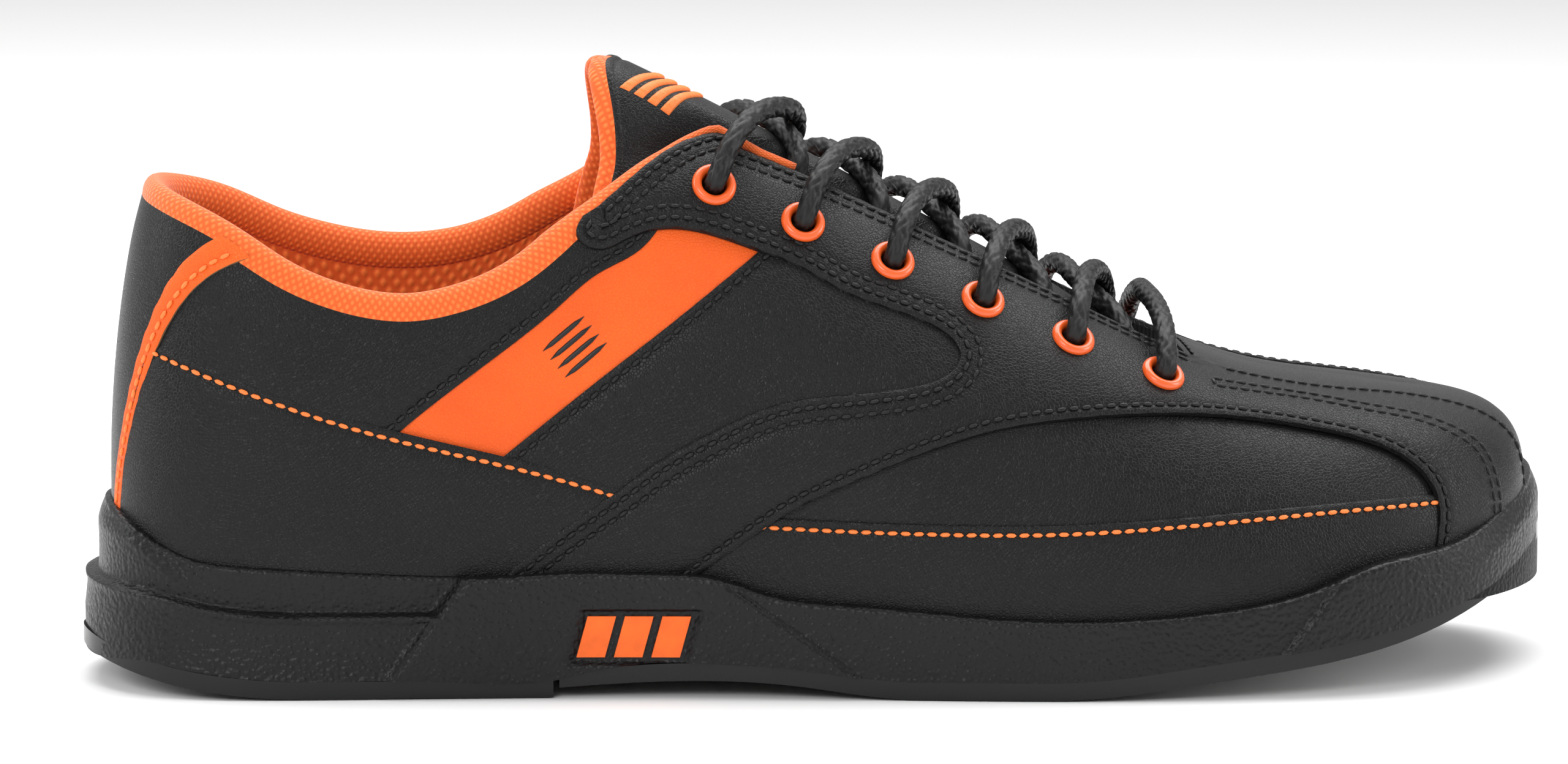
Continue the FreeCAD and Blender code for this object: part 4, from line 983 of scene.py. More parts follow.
def build_back_panel():
    outer, inner = heel_edge(LATERAL, 0.35), heel_edge(MEDIAL, 0.35)
    top_outer = collar_part("lateral", outer[-1][0], 0.0)
    top_inner = around_heel(collar_part("medial", 0.002, inner[-1][0]))
    edges = [Edge(outer, free=False), Edge(top_outer), Edge(top_inner),
             Edge(around_heel(inner[::-1]), free=False)]
    make_panel("back_panel_leather", edges, "back", "back_panel")


def build_rear(name, side, collar_front):
    """Trim beside the back panel, lower quarter and rear quarter."""
    outer, inner = heel_edge(side, 1.0), heel_edge(side, 0.0)
    trim_top = collar_part(name, outer[-1][0], inner[-1][0])
    trim = [Edge(outer, rows=SINGLE_ROW, thread="orange"), Edge(trim_top), Edge(inner[::-1])]
    make_panel(f"heel_trim_leather_{name}", trim, "trim", f"heel_trim_{name}", "orange_leather",
               puff=0.15, side_material=raw_edge)

    lower = [Edge(edge("side", QUARTER_TOP, side), rows=SINGLE_ROW, thread="orange"),
             hidden("side", [(-38, 37), (-56, 22)], side),
             bottom_edge(theta_of(-74.0), 0.06, side),
             hidden("rear", [(side * 13, 30), (side * 17, 50), (side * 20.5, 68)], side)]
    make_panel(f"lower_quarter_leather_{name}", lower, "lower_quarter", f"lower_quarter_{name}")

    rear = [Edge(collar_part(name, outer[-1][0] - 0.03, collar_front)),
            hidden("side", [(-42, 97), (-37, 96)], side),
            Edge(edge("side", SLASH_BACK, side)[::-1], rows=SINGLE_ROW),
            hidden("side", [(-100, 50), (-118, 56), (-128, 60)], side),
            hidden("rear", [(side * (width + 1.5), z) for width, z in BACK_PANEL[3:-1]], side)]
    make_panel(f"rear_quarter_leather_{name}", rear, "quarter", f"rear_quarter_{name}")


def build_middle(name, side):
    """Front quarter and the orange inlay behind it."""
    ahead = [Edge(edge("side", SLASH_FRONT, side), rows=SINGLE_ROW),
             hidden("side", FRONT_QUARTER_HIDDEN, side)]
    make_panel(f"front_quarter_leather_{name}", ahead, "quarter", f"front_quarter_{name}")
    slash = [hidden("side", shifted(SLASH_BACK[:-1], -SLASH_LAP, SLASH_LAP), side),
             hidden("side", [(-36, 99), (-12, 96)], side),
             hidden("side", shifted(SLASH_FRONT, SLASH_LAP, -SLASH_LAP)[::-1], side)]
    make_panel(f"slash_leather_{name}", slash, "slash", f"slash_{name}", "orange_leather", puff=0.0)


def build_front(name, side):
    """Mudguard and forefoot panel."""
    mudguard = [Edge(edge("side", MUDGUARD_TOP, side), rows=SINGLE_ROW, thread="orange"),
                hidden("side", [(131, 36), (131, 30)], side),
                bottom_edge(theta_of(113.0), theta_of(-50.0), side),
                hidden("side", [(-52, 18), (-46, 28)], side)]
    make_panel(f"mudguard_leather_{name}", mudguard, "mudguard", f"mudguard_{name}", side_material=raw_edge)
    forefoot = [hidden("side", FOREFOOT_HIDDEN, side),
                hidden("side", shifted(MUDGUARD_TOP[1:-1], 0, -7)[::-1], side)]
    make_panel(f"forefoot_leather_{name}", forefoot, "forefoot", f"forefoot_panel_{name}", puff=0.0)


def build_overlay(name, side, collar_front):
    """Eyestay, vamp and saddle in one piece, from the collar to the toe."""
    strip = edge("top", STRIP[name], side)
    toe_line = np.concatenate([toe_tip_line(strip[-1], side)[::-1], strip[::-1]])
    overlay = [Edge(edge("side", OVERLAY_UPPER_EDGE, side), rows=DOUBLE_ROW),
               bottom_edge(theta_of(-66.0), theta_of(-47.0), side),
               Edge(edge("side", SADDLE_LOWER_EDGE, side), rows=SINGLE_ROW),
               bottom_edge(theta_of(112.0), float(strip[-1][0]), side),
               Edge(toe_line, rows=SINGLE_ROW),
               Edge(edge("top", THROAT[name], side)[::-1], rows=DOUBLE_ROW),
               Edge(collar_part(name, collar_front, math.pi)[::-1], rows=DOUBLE_ROW)]
    make_panel(f"eyestay_overlay_leather_{name}", overlay, "overlay", f"eyestay_overlay_{name}",
               holes=surface(*eyelet_coordinates(side).T))


def toe_tip_line(start, side):
    """From the end of the strip's edge straight down the toe into the sole's cup."""
    end = np.array([start[0], CUP_SPAN * side])
    line = np.linspace(start, end, 60)
    return resample(line, surface(*line.T), EDGE_SPACING)[1:]


def build_strip():
    outer = edge("top", shifted(STRIP["lateral"], 0, -5), LATERAL, 3.0)
    inner = edge("top", shifted(STRIP["medial"], 0, 5), MEDIAL, 3.0)
    outer_end, inner_end = outer[-1], inner[-1]
    toe_outer = np.linspace(outer_end, [outer_end[0], -CUP_SPAN], 14)[1:]
    toe_inner = np.linspace(inner_end, [inner_end[0], CUP_SPAN], 14)[1:]
    under = np.concatenate([np.linspace([outer_end[0], -CUP_SPAN], [math.pi, -CUP_SPAN], 12)[1:-1],
                            np.linspace([math.pi, CUP_SPAN], [inner_end[0], CUP_SPAN], 12)[1:-1]])
    start = np.concatenate([edge("top", [(77, 24), (75.5, 12), (75.2, 3)], MEDIAL),
                            edge("top", [(75.3, 0.5), (75.6, -8), (77, -21)], LATERAL)])
    edges = [Edge(np.concatenate([outer, toe_outer, under, toe_inner[::-1], inner[::-1]]), free=False),
             Edge(start, rows=SINGLE_ROW)]
    make_panel("vamp_centre_leather", edges, "strip", "vamp_centre_strip", puff=0.2)


OVERLAY_REAR_X = -46.0

build_back_panel()
build_strip()
for side_name, side_sign in SIDES.items():
    collar_x = surface(*COLLAR[side_name].T)[:, 0]
    overlay_rear = float(np.interp(OVERLAY_REAR_X, collar_x, COLLAR[side_name][:, 0]))
    build_rear(side_name, side_sign, overlay_rear)
    build_middle(side_name, side_sign)
    build_front(side_name, side_sign)
    build_overlay(side_name, side_sign, overlay_rear)

# ---------------------------------------------------------------- stitches

STITCH_PITCH = 2.65
STITCH_LENGTH = 2.15
STITCH_WIDTH = 0.92
THREADS = {"black": black_thread, "orange": orange_thread}


TOE_DECORATION = [(80, 60.3), (92, 58), (103, 56), (113, 54), (124, 51.5), (131, 48.5), (135, 45.5),
                  (137, 41), (138, 36), (138, 30)]


def toe_decoration(side):
    """Double row of stitches round the toe cap, beside the middle strip, closed at its rear end."""
    line = edge("side", TOE_DECORATION, side)
    second = inset(line, 2.4, -side)
    return [line, second, np.linspace(line[0], second[0], 4)]


for side_sign in SIDES.values():
    for decorated in toe_decoration(side_sign):
        seams.append((decorated, LEVELS["overlay"] + 0.32, "black"))


def stitch_frames(coordinates, level):
    """Centres and axes of the stitches along one row."""
    theta, span = coordinates.T
    points = surface(theta, span, level)
    even = resample(coordinates, points, STITCH_PITCH)
    middle = (even[1:] + even[:-1]) / 2
    start, end = surface(*even[:-1].T, level), surface(*even[1:].T, level)
    normal = true_normal(*middle.T)
    along = unit(end - start)
    lean = np.where(np.arange(len(along)) % 2, 0.05, -0.03)[:, None]
    side_way = unit(np.cross(normal, along))
    x_axis = unit(along + side_way * lean)
    y_axis = unit(np.cross(normal, x_axis))
    centre = surface(*middle.T, level + 0.02)
    return centre, x_axis, y_axis, np.cross(x_axis, y_axis)


def build_stitches():
    shape, faces = capsule(STITCH_LENGTH, STITCH_WIDTH, STITCH_WIDTH * 0.85)
    for color, material in THREADS.items():
        rows = [stitch_frames(coordinates, level) for coordinates, level, name in seams
                if name == color and len(coordinates) > 2]
        frames = [np.concatenate(parts) for parts in zip(*rows)]
        points, all_faces = copies_of(shape, faces, frames)
        add_mesh(f"stitches_{color}", points, all_faces, material)


build_stitches()

# ---------------------------------------------------------------- collar and lining

WALL = 4.5
# Over its last millimetres the roll is thin and lies beside the throat's edge, level with the leather.
ROLL_BESIDE = 30.0
ROLL_END_RADIUS = 0.85
ROLL_END_DEPTH = LEVELS["quarter"] - LEVELS["overlay"] + 0.4
ROLL_DEPTH = 2.45
ROLL_HALF_WALL = 3.1
ROLL_HALF_HEIGHT = 3.9
ROLL_GIRTH = 22.0
# Within these distances of its ends the roll grows to full size, and comes up from beside the edge.
ROLL_TAPER_START = 16.0
ROLL_TAPER_LENGTH = 44.0
ROLL_BESIDE_LENGTH = 12.0

LINING_PADDING = 1.5
PADDING_MIDDLE = 12.0
PADDING_REACH = 16.0
LINING_BACKING = 0.25
LINING_FRONT_X = 4.0
LINING_TOP_GAP = 0.004  # of span
LINING_LAST_SPAN = 0.97


def roll_line(name, side):
    """Where the roll runs: along the collar from the heel, and a short way down the throat."""
    throat = edge("top", THROAT[name][:2], side)
    line = np.concatenate([COLLAR[name][:-4], throat[5:13]])
    return resample(line, surface(*line.T), 1.6)


def build_collar_roll():
    """Soft knitted roll over the padded collar, from one side of the throat round the heel to the other."""
    outer, inner = [roll_line(name, side) for name, side in SIDES.items()]
    coordinates = np.concatenate([outer[::-1], inner[1:]])
    points = surface(*coordinates.T, LEVELS["quarter"])
    normals = outward_normal(*coordinates.T)
    away = unit(np.cross(true_normal(*coordinates.T), unit(np.gradient(points, axis=0))))
    toward_sky = np.where((away * UP).sum(-1, keepdims=True) < 0, -away, away)
    length = length_along(points)
    from_end = np.minimum(length, length[-1] - length)
    fullness = 0.34 + 0.66 * np.clip((from_end - ROLL_TAPER_START) / ROLL_TAPER_LENGTH, 0, 1)
    beside = np.clip((ROLL_BESIDE - from_end) / ROLL_BESIDE_LENGTH, 0, 1)
    depth = ROLL_DEPTH + (ROLL_END_DEPTH - ROLL_DEPTH) * beside
    shift = (0.1 * fullness - 0.3) * (1 - beside) + ROLL_END_RADIUS * beside
    half_wall = ROLL_HALF_WALL * (0.75 + 0.25 * fullness) * (1 - beside) + ROLL_END_RADIUS * beside
    half_height = ROLL_HALF_HEIGHT * fullness * (1 - beside) + ROLL_END_RADIUS * beside
    around = 22
    angle = np.linspace(0, 2 * math.pi, around, endpoint=False)
    middle = points - normals * depth[:, None] + toward_sky * shift[:, None]
    ring_out = np.cos(angle)[None, :, None] * normals[:, None] * half_wall[:, None, None]
    ring_up = np.sin(angle)[None, :, None] * toward_sky[:, None] * half_height[:, None, None]
    grid = middle[:, None] + ring_out + ring_up
    girth = np.arange(around) * ROLL_GIRTH / around
    uv = np.stack([np.repeat(length, around), np.tile(np.abs(girth - ROLL_GIRTH / 2), len(points))], axis=-1)
    roll = add_mesh("collar_roll", grid.reshape(-1, 3), tube_faces(len(points), around), orange_knit,
                    uv=uv)
    return roll


def lining_depth(distance):
    """How deep the lining lies below the leather's face: padded near the collar, thin further down."""
    padding = LINING_PADDING * np.exp(-((distance - PADDING_MIDDLE) / PADDING_REACH) ** 2)
    return WALL + padding - LINING_BACKING


def build_lining(side_name):
    """Mesh lining of one side, from under the collar roll down to the sock."""
    side = SIDES[side_name]
    line = COLLAR[side_name]
    front = line[-1][0]
    ahead = np.linspace(front, theta_of(LINING_FRONT_X), 12)[1:]
    thetas = np.concatenate([np.linspace(0, front, 110), ahead])
    tops = np.interp(thetas, line[:, 0], np.abs(line[:, 1]))
    steps = np.linspace(0, 1, 44)
    rows, columns = len(thetas), len(steps)
    theta = np.repeat(thetas, columns)
    drop = (LINING_LAST_SPAN - tops[:, None]) * steps[None]
    span = (tops[:, None] + LINING_TOP_GAP + drop).ravel() * side
    face = surface(theta, span)
    top = surface(theta, np.repeat(tops + LINING_TOP_GAP, columns) * side)
    distance = np.linalg.norm(face - top, axis=1)
    inner = surface(theta, span, -lining_depth(distance))
    outer = surface(theta, span, -WALL + 0.6)
    along = length_along(face.reshape(rows, columns, 3)[:, 10])
    uv = np.stack([np.repeat(along, columns), distance], axis=-1)
    return add_mesh(f"ankle_lining_mesh_{side_name}", np.concatenate([inner, outer]),
                    slab_faces(rows, columns), orange_mesh, uv=np.concatenate([uv, uv]))


collar_roll = build_collar_roll()
lining_sides = [build_lining(side_name) for side_name in SIDES]
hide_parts("ankle_lining")
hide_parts("collar_foam")

# ---------------------------------------------------------------- tongue

TONGUE_TOP_X = -42.0
TONGUE_BASE_X = 80.0
TONGUE_SPANS = (0.50, 0.40)
TONGUE_THICKNESS = 5.8
TONGUE_END_THICKNESS = 3.4
TONGUE_BORDER = 2.4
TONGUE_ROW = 1.8
TONGUE_END_SHIFT = 12.0
LEATHER_STEP = 0.9

MARK_X = -31.0
MARK_COUNT = 4
MARK_PITCH = 2.65
MARK_WIDTH = 1.8
MARK_SLANT = 1.6
MARK_SPAN = 0.15


def ease(value):
    value = np.clip(value, 0, 1)
    return value * value * (3 - 2 * value)


def tongue_depth(ridge_x, span):
    """Depth of the tongue's face below the form: high in the throat, low under the eyelet rows."""
    centre = 3.0 + 2.6 * ease((ridge_x - 50) / 20)
    free_end = ease((-14 - ridge_x) / 20)
    side_depth = 11.2 - 3.6 * free_end
    fall = ease((np.abs(span) - 0.08) / (0.12 + 0.16 * free_end))
    return centre + (side_depth - centre) * fall


def tongue_reach(ridge_x):
    share = (ridge_x - TONGUE_TOP_X) / (TONGUE_BASE_X - TONGUE_TOP_X)
    return TONGUE_SPANS[0] + (TONGUE_SPANS[1] - TONGUE_SPANS[0]) * share


def tongue_grid():
    """Ribs, spans and distances from the edge of the tongue's points, with close rows near its edge."""
    near_edge = np.array([0, 0.1, 0.35, 0.8, 1.4, TONGUE_BORDER - 0.4, TONGUE_BORDER, TONGUE_BORDER + 0.4])
    near_edge = np.concatenate([near_edge, TONGUE_BORDER + 0.9 + 0.5 * np.arange(6)])
    rows = np.concatenate([near_edge, np.arange(7.5, 121, 1.6)])
    inner = np.linspace(0, 1, 24)[1:]
    half_widths, across = [], []
    for rib in TONGUE_TOP_X + rows:
        half_line = place(np.full(40, rib), np.linspace(0, tongue_reach(rib), 40), -6.0)
        width = np.linalg.norm(np.diff(half_line, axis=0), axis=1).sum()
        share = 1 - np.concatenate([near_edge, near_edge[-1] + inner * (width - near_edge[-1])]) / width
        across.append(np.concatenate([-share, share[-2::-1]]))
        half_widths.append(width)
    across = np.array(across)
    half_width = np.array(half_widths)[:, None]
    x = np.repeat(TONGUE_TOP_X + rows, across.shape[1]).reshape(across.shape)
    span = across * tongue_reach(x)
    x = x + TONGUE_END_SHIFT * ease(np.abs(span) / 0.34) * ease(1 - (x - TONGUE_TOP_X) / 60)
    distance = np.minimum((1 - np.abs(across)) * half_width, rows[:, None])
    return x, span, distance, across * half_width


def build_tongue():
    """Padded tongue: a leather face with a stitched edge on a knitted body that shows as its border."""
    x, span, distance, side_way = tongue_grid()
    filling = ease((distance - 2) / 14)
    thickness = TONGUE_END_THICKNESS + (TONGUE_THICKNESS - TONGUE_END_THICKNESS) * filling
    rounding = np.sqrt(np.clip(1 - (1 - np.clip(distance / 1.7, 0, 1)) ** 2, 0, 1))
    middle = tongue_depth(x, span) + thickness / 2
    leather_step = ease((distance - TONGUE_BORDER + 0.3) / 0.6)
    dip = 0.3 * np.exp(-((distance - TONGUE_BORDER - TONGUE_ROW) / 0.5) ** 2)
    rise = thickness / 2 * rounding + LEATHER_STEP * leather_step - dip
    top = place(x.ravel(), span.ravel(), (rise - middle).ravel())
    under = place(x.ravel(), span.ravel(), (-thickness / 2 * rounding - middle).ravel())
    faces = slab_faces(*x.shape)
    uv = np.stack([x.ravel(), side_way.ravel()], axis=-1)
    tongue = add_mesh("tongue_padded", np.concatenate([top, under]), faces, orange_knit,
                      body=None, uv=np.concatenate([uv, uv]))
    tongue.data.materials.append(black_leather)
    is_leather = distance.ravel()[grid_faces(*x.shape)].mean(1) > TONGUE_BORDER
    knitted = [0] * (len(faces) - len(is_leather))
    tongue.data.polygons.foreach_set("material_index", is_leather.astype(int).tolist() + knitted)
    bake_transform(tongue)
    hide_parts("tongue_shell", "tongue_foam", "tongue_lining")


def build_tongue_mark():
    """Slanted bars of satin stitches on the tongue's leather."""
    u, v = np.linspace(0, 1, 10), np.linspace(-1, 1, 90)
    v_grid, u_grid = [item.ravel() for item in np.meshgrid(v, u, indexing="ij")]
    crown = np.sqrt(np.clip(1 - (2 * u_grid - 1) ** 2, 0, 1) * np.clip(6 * (1 - np.abs(v_grid)), 0, 1))
    threads = 0.07 * np.abs(np.sin(v_grid * 27.0)) + 0.02 * np.sin(v_grid * 91.0)
    span = MARK_SPAN * v_grid
    bar_faces = slab_faces(len(v), len(u))
    points, faces = [], []
    for bar in range(MARK_COUNT):
        x = MARK_X + MARK_PITCH * bar + MARK_WIDTH * u_grid + MARK_SLANT * v_grid
        base = LEATHER_STEP - tongue_depth(x, span)
        start = len(points) * len(u_grid)
        points += [place(x, span, base + 0.5 * crown + threads), place(x, span, base - 0.4)]
        faces += [[index + start for index in face] for face in bar_faces]
    mark = add_mesh("tongue_mark", np.concatenate(points), faces, orange_thread,
                    body="tongue")
    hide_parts("tongue_emblem")


build_tongue()
build_tongue_mark()

# ---------------------------------------------------------------- eyelets

EYELET_FLANGE = 4.6
EYELET_BORE = 2.55
EYELET_RISE = 1.3
EYELET_SEAT = LEVELS["overlay"] + 0.12
EYELET_END = -5.2


def build_eyelets():
    """Rolled rings with a barrel through the leather, one piece a side."""
    turn = np.linspace(0, math.pi, 11)
    ring_middle = (EYELET_FLANGE + EYELET_BORE) / 2
    ring_half = (EYELET_FLANGE - EYELET_BORE) / 2
    barrel = BARREL_RADIUS - 0.05
    section = [(ring_middle + ring_half * math.cos(a), EYELET_RISE * math.sin(a) ** 0.85) for a in turn]
    section += [(EYELET_BORE, -1.2), (EYELET_BORE, EYELET_END), (barrel, EYELET_END), (barrel, -0.4),
                (EYELET_FLANGE - 0.3, -0.4)]
    around = 40
    angle = np.linspace(0, 2 * math.pi, around, endpoint=False)
    shape = np.array([(r * math.cos(a), r * math.sin(a), h) for a in angle for r, h in section])
    faces = grid_faces(around, len(section), close_rows=True, close_columns=True).tolist()
    for name, side in SIDES.items():
        coordinates = eyelet_coordinates(side)
        normal = true_normal(*coordinates.T)
        x_axis = unit(np.cross(normal, UP))
        centre = surface(*coordinates.T, 0.0) + normal * EYELET_SEAT
        points, all_faces = copies_of(shape, faces, (centre, x_axis, np.cross(normal, x_axis), normal))
        rings = add_mesh(f"eyelet_rings_{name}", points, all_faces, orange_enamel)
        rings.data.set_sharp_from_angle(angle=math.radians(50))
        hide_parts(f"eyelets_{name}")


build_eyelets()

# ---------------------------------------------------------------- lace

LACE_RADIUS = 2.2
INSIDE = -7.7
THROUGH = [(0, 1, INSIDE), (0, 1, -4.6), (0, 1, -1.2), (0, 1, 1.8)]
# One strand, from an eyelet to the opposite eyelet one row further down: how far along the row,
# across the form (1 at its own eyelet, -1 at the other) and how high above the leather.
STRAND_OVER = THROUGH + [(0, 1, 3.2), (0.04, 0.80, 6.5), (0.17, 0.48, 6.3), (0.38, 0.18, 5.5),
                         (0.62, -0.16, 4.3), (0.82, -0.40, -0.4), (0.93, -0.62, -7.4)]
STRAND_UNDER = THROUGH + [(0, 1, 3.2), (0.04, 0.80, 5.9), (0.17, 0.50, 4.3), (0.38, 0.20, 1.0),
                          (0.62, -0.16, 0.0), (0.82, -0.40, -0.6), (0.93, -0.62, -7.4)]
BAR_HALF = THROUGH + [(0, 1, 3.2), (0.04, 0.76, 6.0), (0.10, 0.36, 5.8)]
BAR = BAR_HALF + [(0.12, 0, 5.6)] + [(along, -across, height) for along, across, height in BAR_HALF[::-1]]
# Each tail, inside the shoe from the top eyelet: rib, across, and height.
TAIL = [(-16, 0.43, -7.8), (-26, 0.52, -7.8), (-35, 0.62, -8.0), (-40, 0.72, -8.4), (-34, 0.81, -9.2),
        (-21, 0.865, -10.2), (-6, 0.88, -10.8), (9, 0.885, -11.6), (24, 0.885, -12.6)]
BRAID_STRANDS = 6
BRAID_LENGTH = 2.1
BRAID_RELIEF = 0.5


def strand_points(row, side, template):
    """Route of one strand: square through its eyelets, and over the form between them."""
    points = []
    for along, across, height in template:
        ridge_x = row_x(row + along)
        span = across * side * eyelet_span(row + along)
        if abs(across) == 1:
            theta = theta_of(ridge_x)
            points.append(surface(theta, span, 0.0) + true_normal(theta, span) * height)
        else:
            points.append(place(ridge_x, span, height))
    return [np.ravel(point) for point in points]


def lace_route():
    """The whole lace, from the outer tail down the rows, over the bar and up again."""
    tails = {side: [np.ravel(place(x, span * side, height)) for x, span, height in TAIL]
             for side in SIDES.values()}
    last = EYELET_ROWS - 1
    points = tails[LATERAL][::-1]
    side = LATERAL
    for row in range(last):
        points = points + strand_points(row, side, STRAND_OVER if row % 2 == 0 else STRAND_UNDER)
        side = -side
    points = points + strand_points(last, side, BAR)
    side = -side
    for row in reversed(range(last)):
        template = STRAND_UNDER if row % 2 == 0 else STRAND_OVER
        points = points + strand_points(row, -side, template)[::-1]
        side = -side
    return np.array(points + tails[MEDIAL])


def rounded(points, rounds=4):
    """The quadratic curve that the control points describe, by cutting corners."""
    for _ in range(rounds):
        ahead, behind = points[1:], points[:-1]
        cut_points = np.stack([0.75 * behind + 0.25 * ahead, 0.25 * behind + 0.75 * ahead], axis=1)
        points = np.concatenate([points[:1], cut_points.reshape(-1, 3), points[-1:]])
    return points


def carried_axes(points):
    """Two axes along a path, square to it and to each other, that don't spin about it."""
    tangents = unit(np.gradient(points, axis=0))
    axes = [unit(np.cross(tangents[0], UP))]
    for tangent in tangents[1:]:
        axis = axes[-1] - tangent * axes[-1].dot(tangent)
        axes.append(axis / np.linalg.norm(axis))
    axes = np.array(axes)
    return axes, np.cross(tangents, axes)


def build_lace():
    """Round braided lace: two sets of strands that wind both ways and pass over and under."""
    path = rounded(lace_route())
    path = resample(path, path, 0.5)
    length = length_along(path)
    around = 36
    angle = np.linspace(0, 2 * math.pi, around, endpoint=False)
    turn = angle[None] * BRAID_STRANDS / (2 * math.pi)
    run = length[:, None] / (2 * BRAID_LENGTH)
    first, second = turn + run, turn - run
    weave = np.cos(math.pi * np.floor(first)) * np.cos(math.pi * np.floor(second))
    one = np.abs(np.sin(math.pi * first)) ** 0.6 * (1 + weave)
    other = np.abs(np.sin(math.pi * second)) ** 0.6 * (1 - weave)
    radius = LACE_RADIUS - BRAID_RELIEF + BRAID_RELIEF * np.maximum(one, other) / 2
    x_axis, y_axis = carried_axes(path)
    ring = x_axis[:, None] * np.cos(angle)[None, :, None] + y_axis[:, None] * np.sin(angle)[None, :, None]
    points = path[:, None] + ring * radius[..., None]
    uv = np.stack([np.repeat(length, around), np.tile(angle * LACE_RADIUS, len(path))], axis=-1)
    lace = add_mesh("lace_braided", points.reshape(-1, 3), tube_faces(len(path), around), lace_yarn,
                    uv=uv)
    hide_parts("lace")


build_lace()

# ---------------------------------------------------------------- marks on the inlays

STROKE_CENTRE = np.array([-51.0, 71.3])
STROKE_ALONG = np.array([0.77, 0.64])
STROKE_ACROSS = np.array([-0.64, 0.77])
STROKE_LENGTH = 11.0
STROKE_PITCH = 2.3
STROKE_STEPS = (-1.5, -0.5, 0.5, 1.5)
STROKE_REACH = 2.0


def build_strokes(name, side):
    """Short raised strokes along the orange inlay."""
    shape, faces = capsule(STROKE_LENGTH, 1.1, 0.5)
    frames = []
    for step in STROKE_STEPS:
        middle = STROKE_CENTRE + STROKE_ACROSS * STROKE_PITCH * step
        reach = STROKE_REACH * STROKE_ALONG
        line = find("side", [middle - reach, middle, middle + reach], side)
        spots = surface(*line.T, LEVELS["slash"] + 0.02)
        x_axis = unit(spots[2] - spots[0])
        y_axis = unit(np.cross(np.ravel(true_normal(*line[1])), x_axis))
        frames.append((spots[1], x_axis, y_axis, np.cross(x_axis, y_axis)))
    points, all_faces = copies_of(shape, faces, [np.array(values) for values in zip(*frames)])
    add_mesh(f"inlay_strokes_{name}", points, all_faces, stroke_print)


for side_name, side_sign in SIDES.items():
    build_strokes(side_name, side_sign)

# ---------------------------------------------------------------- midsole

SOLE_BOTTOM = profile([(-152, 18.5), (-148, 10.1), (-137, 7.0), (-125, 4.9), (-113, 3.8), (-104, 3.6),
                       (-80, 3.6), (-56, 3.6), (-45, 6), (-22, 7), (-6, 6), (6, 4.4), (16, 3.6), (30, 3.6),
                       (46, 3.6), (60, 4.7), (75, 6.8), (104, 10.8), (124, 15.6), (137, 20.6), (145, 24.6),
                       (153, 29.5)])
LEDGE_HEIGHT = profile([(-150, 22), (-140, 21), (-125, 18.3), (-100, 17), (-58, 17)])
LEDGE_INSET = 2.2
PANEL_RISE = 1.3
BUMPER_RISE = 1.2
POCKET_DEPTH = 1.4
# The badge's pocket: its left, low corner, width and height in side view, and how far its top leans.
POCKET = (-53.0, 7.0, 24.0, 11.0, 3.0)
SEAT_LEVEL = 2.5
LIP_RADIUS = 1.1
WALL_COUNT = 470


def step_at(value, width=0.9):
    """Rises from 0 to 1 as the value passes through zero."""
    return ease(value / width + 0.5)


def beyond(x, z, first, second):
    """Distance in front of a slanted line in side view."""
    (x1, z1), (x2, z2) = first, second
    length = math.hypot(x2 - x1, z2 - z1)
    return ((x - x1) * (z1 - z2) + (z - z1) * (x2 - x1)) / length


def wall_relief(x, z, side):
    """How far the side wall stands out from the sole's outline."""
    top, bottom = wall_height(x), SOLE_BOTTOM(x)
    share = (z - bottom) / (top - bottom)
    waist = -0.8 * np.sin(math.pi * np.clip(share, 0, 1)) ** 0.8
    ledge = LEDGE_HEIGHT(x)
    panel_back = beyond(x, z, (-75.8, 22.5), (-88.8, 4.4))
    heel_zone = 1 - step_at(panel_back, 2.0)
    heel = -LEDGE_INSET * step_at(z - ledge) + 0.5 * np.exp(-((z - ledge + 0.8) / 0.8) ** 2)
    panel = PANEL_RISE * step_at(panel_back) * (1 - step_at(beyond(x, z, (-18.7, 21.6), (7.4, 3.1))))
    bumper = BUMPER_RISE * step_at(beyond(x, z, (103, 23.2), (91.7, 8.8))) * (1 - ease((x - 132) / 16))
    lean_end = 3.2 * ease((x - 118) / 28) + 3.4 * ease((-122 - x) / 20)
    lean = -lean_end * np.clip((z - top + 7) / 7, 0, 1) ** 1.5
    left, low, width, height, slant = POCKET
    shifted_x = x - slant * (z - low) / height
    in_pocket = (step_at(shifted_x - left, 0.7) * step_at(left + width - shifted_x, 0.7)
                 * step_at(z - low, 0.7) * step_at(low + height - z, 0.7))
    pocket = -POCKET_DEPTH * in_pocket * (side == LATERAL)
    return waist * (1 - step_at(panel_back)) + heel * heel_zone + panel + bumper + pocket + lean


def midsole_loops(side):
    """Rows of points round one side of the cup, from the bottom edge up the wall and over the lip to the
    floor inside."""
    walk = np.linspace(0, TOE_INDEX, WALL_COUNT)
    if side == MEDIAL:
        walk = FEATHER_COUNT - walk
    foot = feather_point(walk)
    out = feather_outward(walk)[:, :2]
    x = foot[:, 0]
    flange = sole_flange(x)
    edge_x = x + out[:, 0] * flange
    top, bottom = wall_height(x), SOLE_BOTTOM(x)
    lip_start = top - LIP_RADIUS
    ledge = np.minimum(LEDGE_HEIGHT(x), bottom + 0.62 * (lip_start - bottom))
    wall = [bottom + (ledge - bottom) * share for share in np.linspace(0, 1, 28)]
    wall += [ledge + (lip_start - ledge) * share for share in np.linspace(0, 1, 30)[1:]]
    rows = [(flange + wall_relief(edge_x, z, side), z) for z in wall]
    offset, z = rows[-1]
    for angle in np.linspace(0, math.pi / 2, 7)[1:]:
        rows.append((offset - LIP_RADIUS * (1 - np.cos(angle)), z + LIP_RADIUS * np.sin(angle)))
    inside = np.full(WALL_COUNT, -1.0)
    rows.append((np.minimum(offset - 2.0, 1.0), top - 0.15))
    rows.append((inside, top - 0.5))
    rows.append((inside, np.minimum(feather_height(x) - SEAT_LEVEL, top - 1.0)))
    return np.array([np.column_stack([foot + out * offset[:, None], z]) for offset, z in rows])


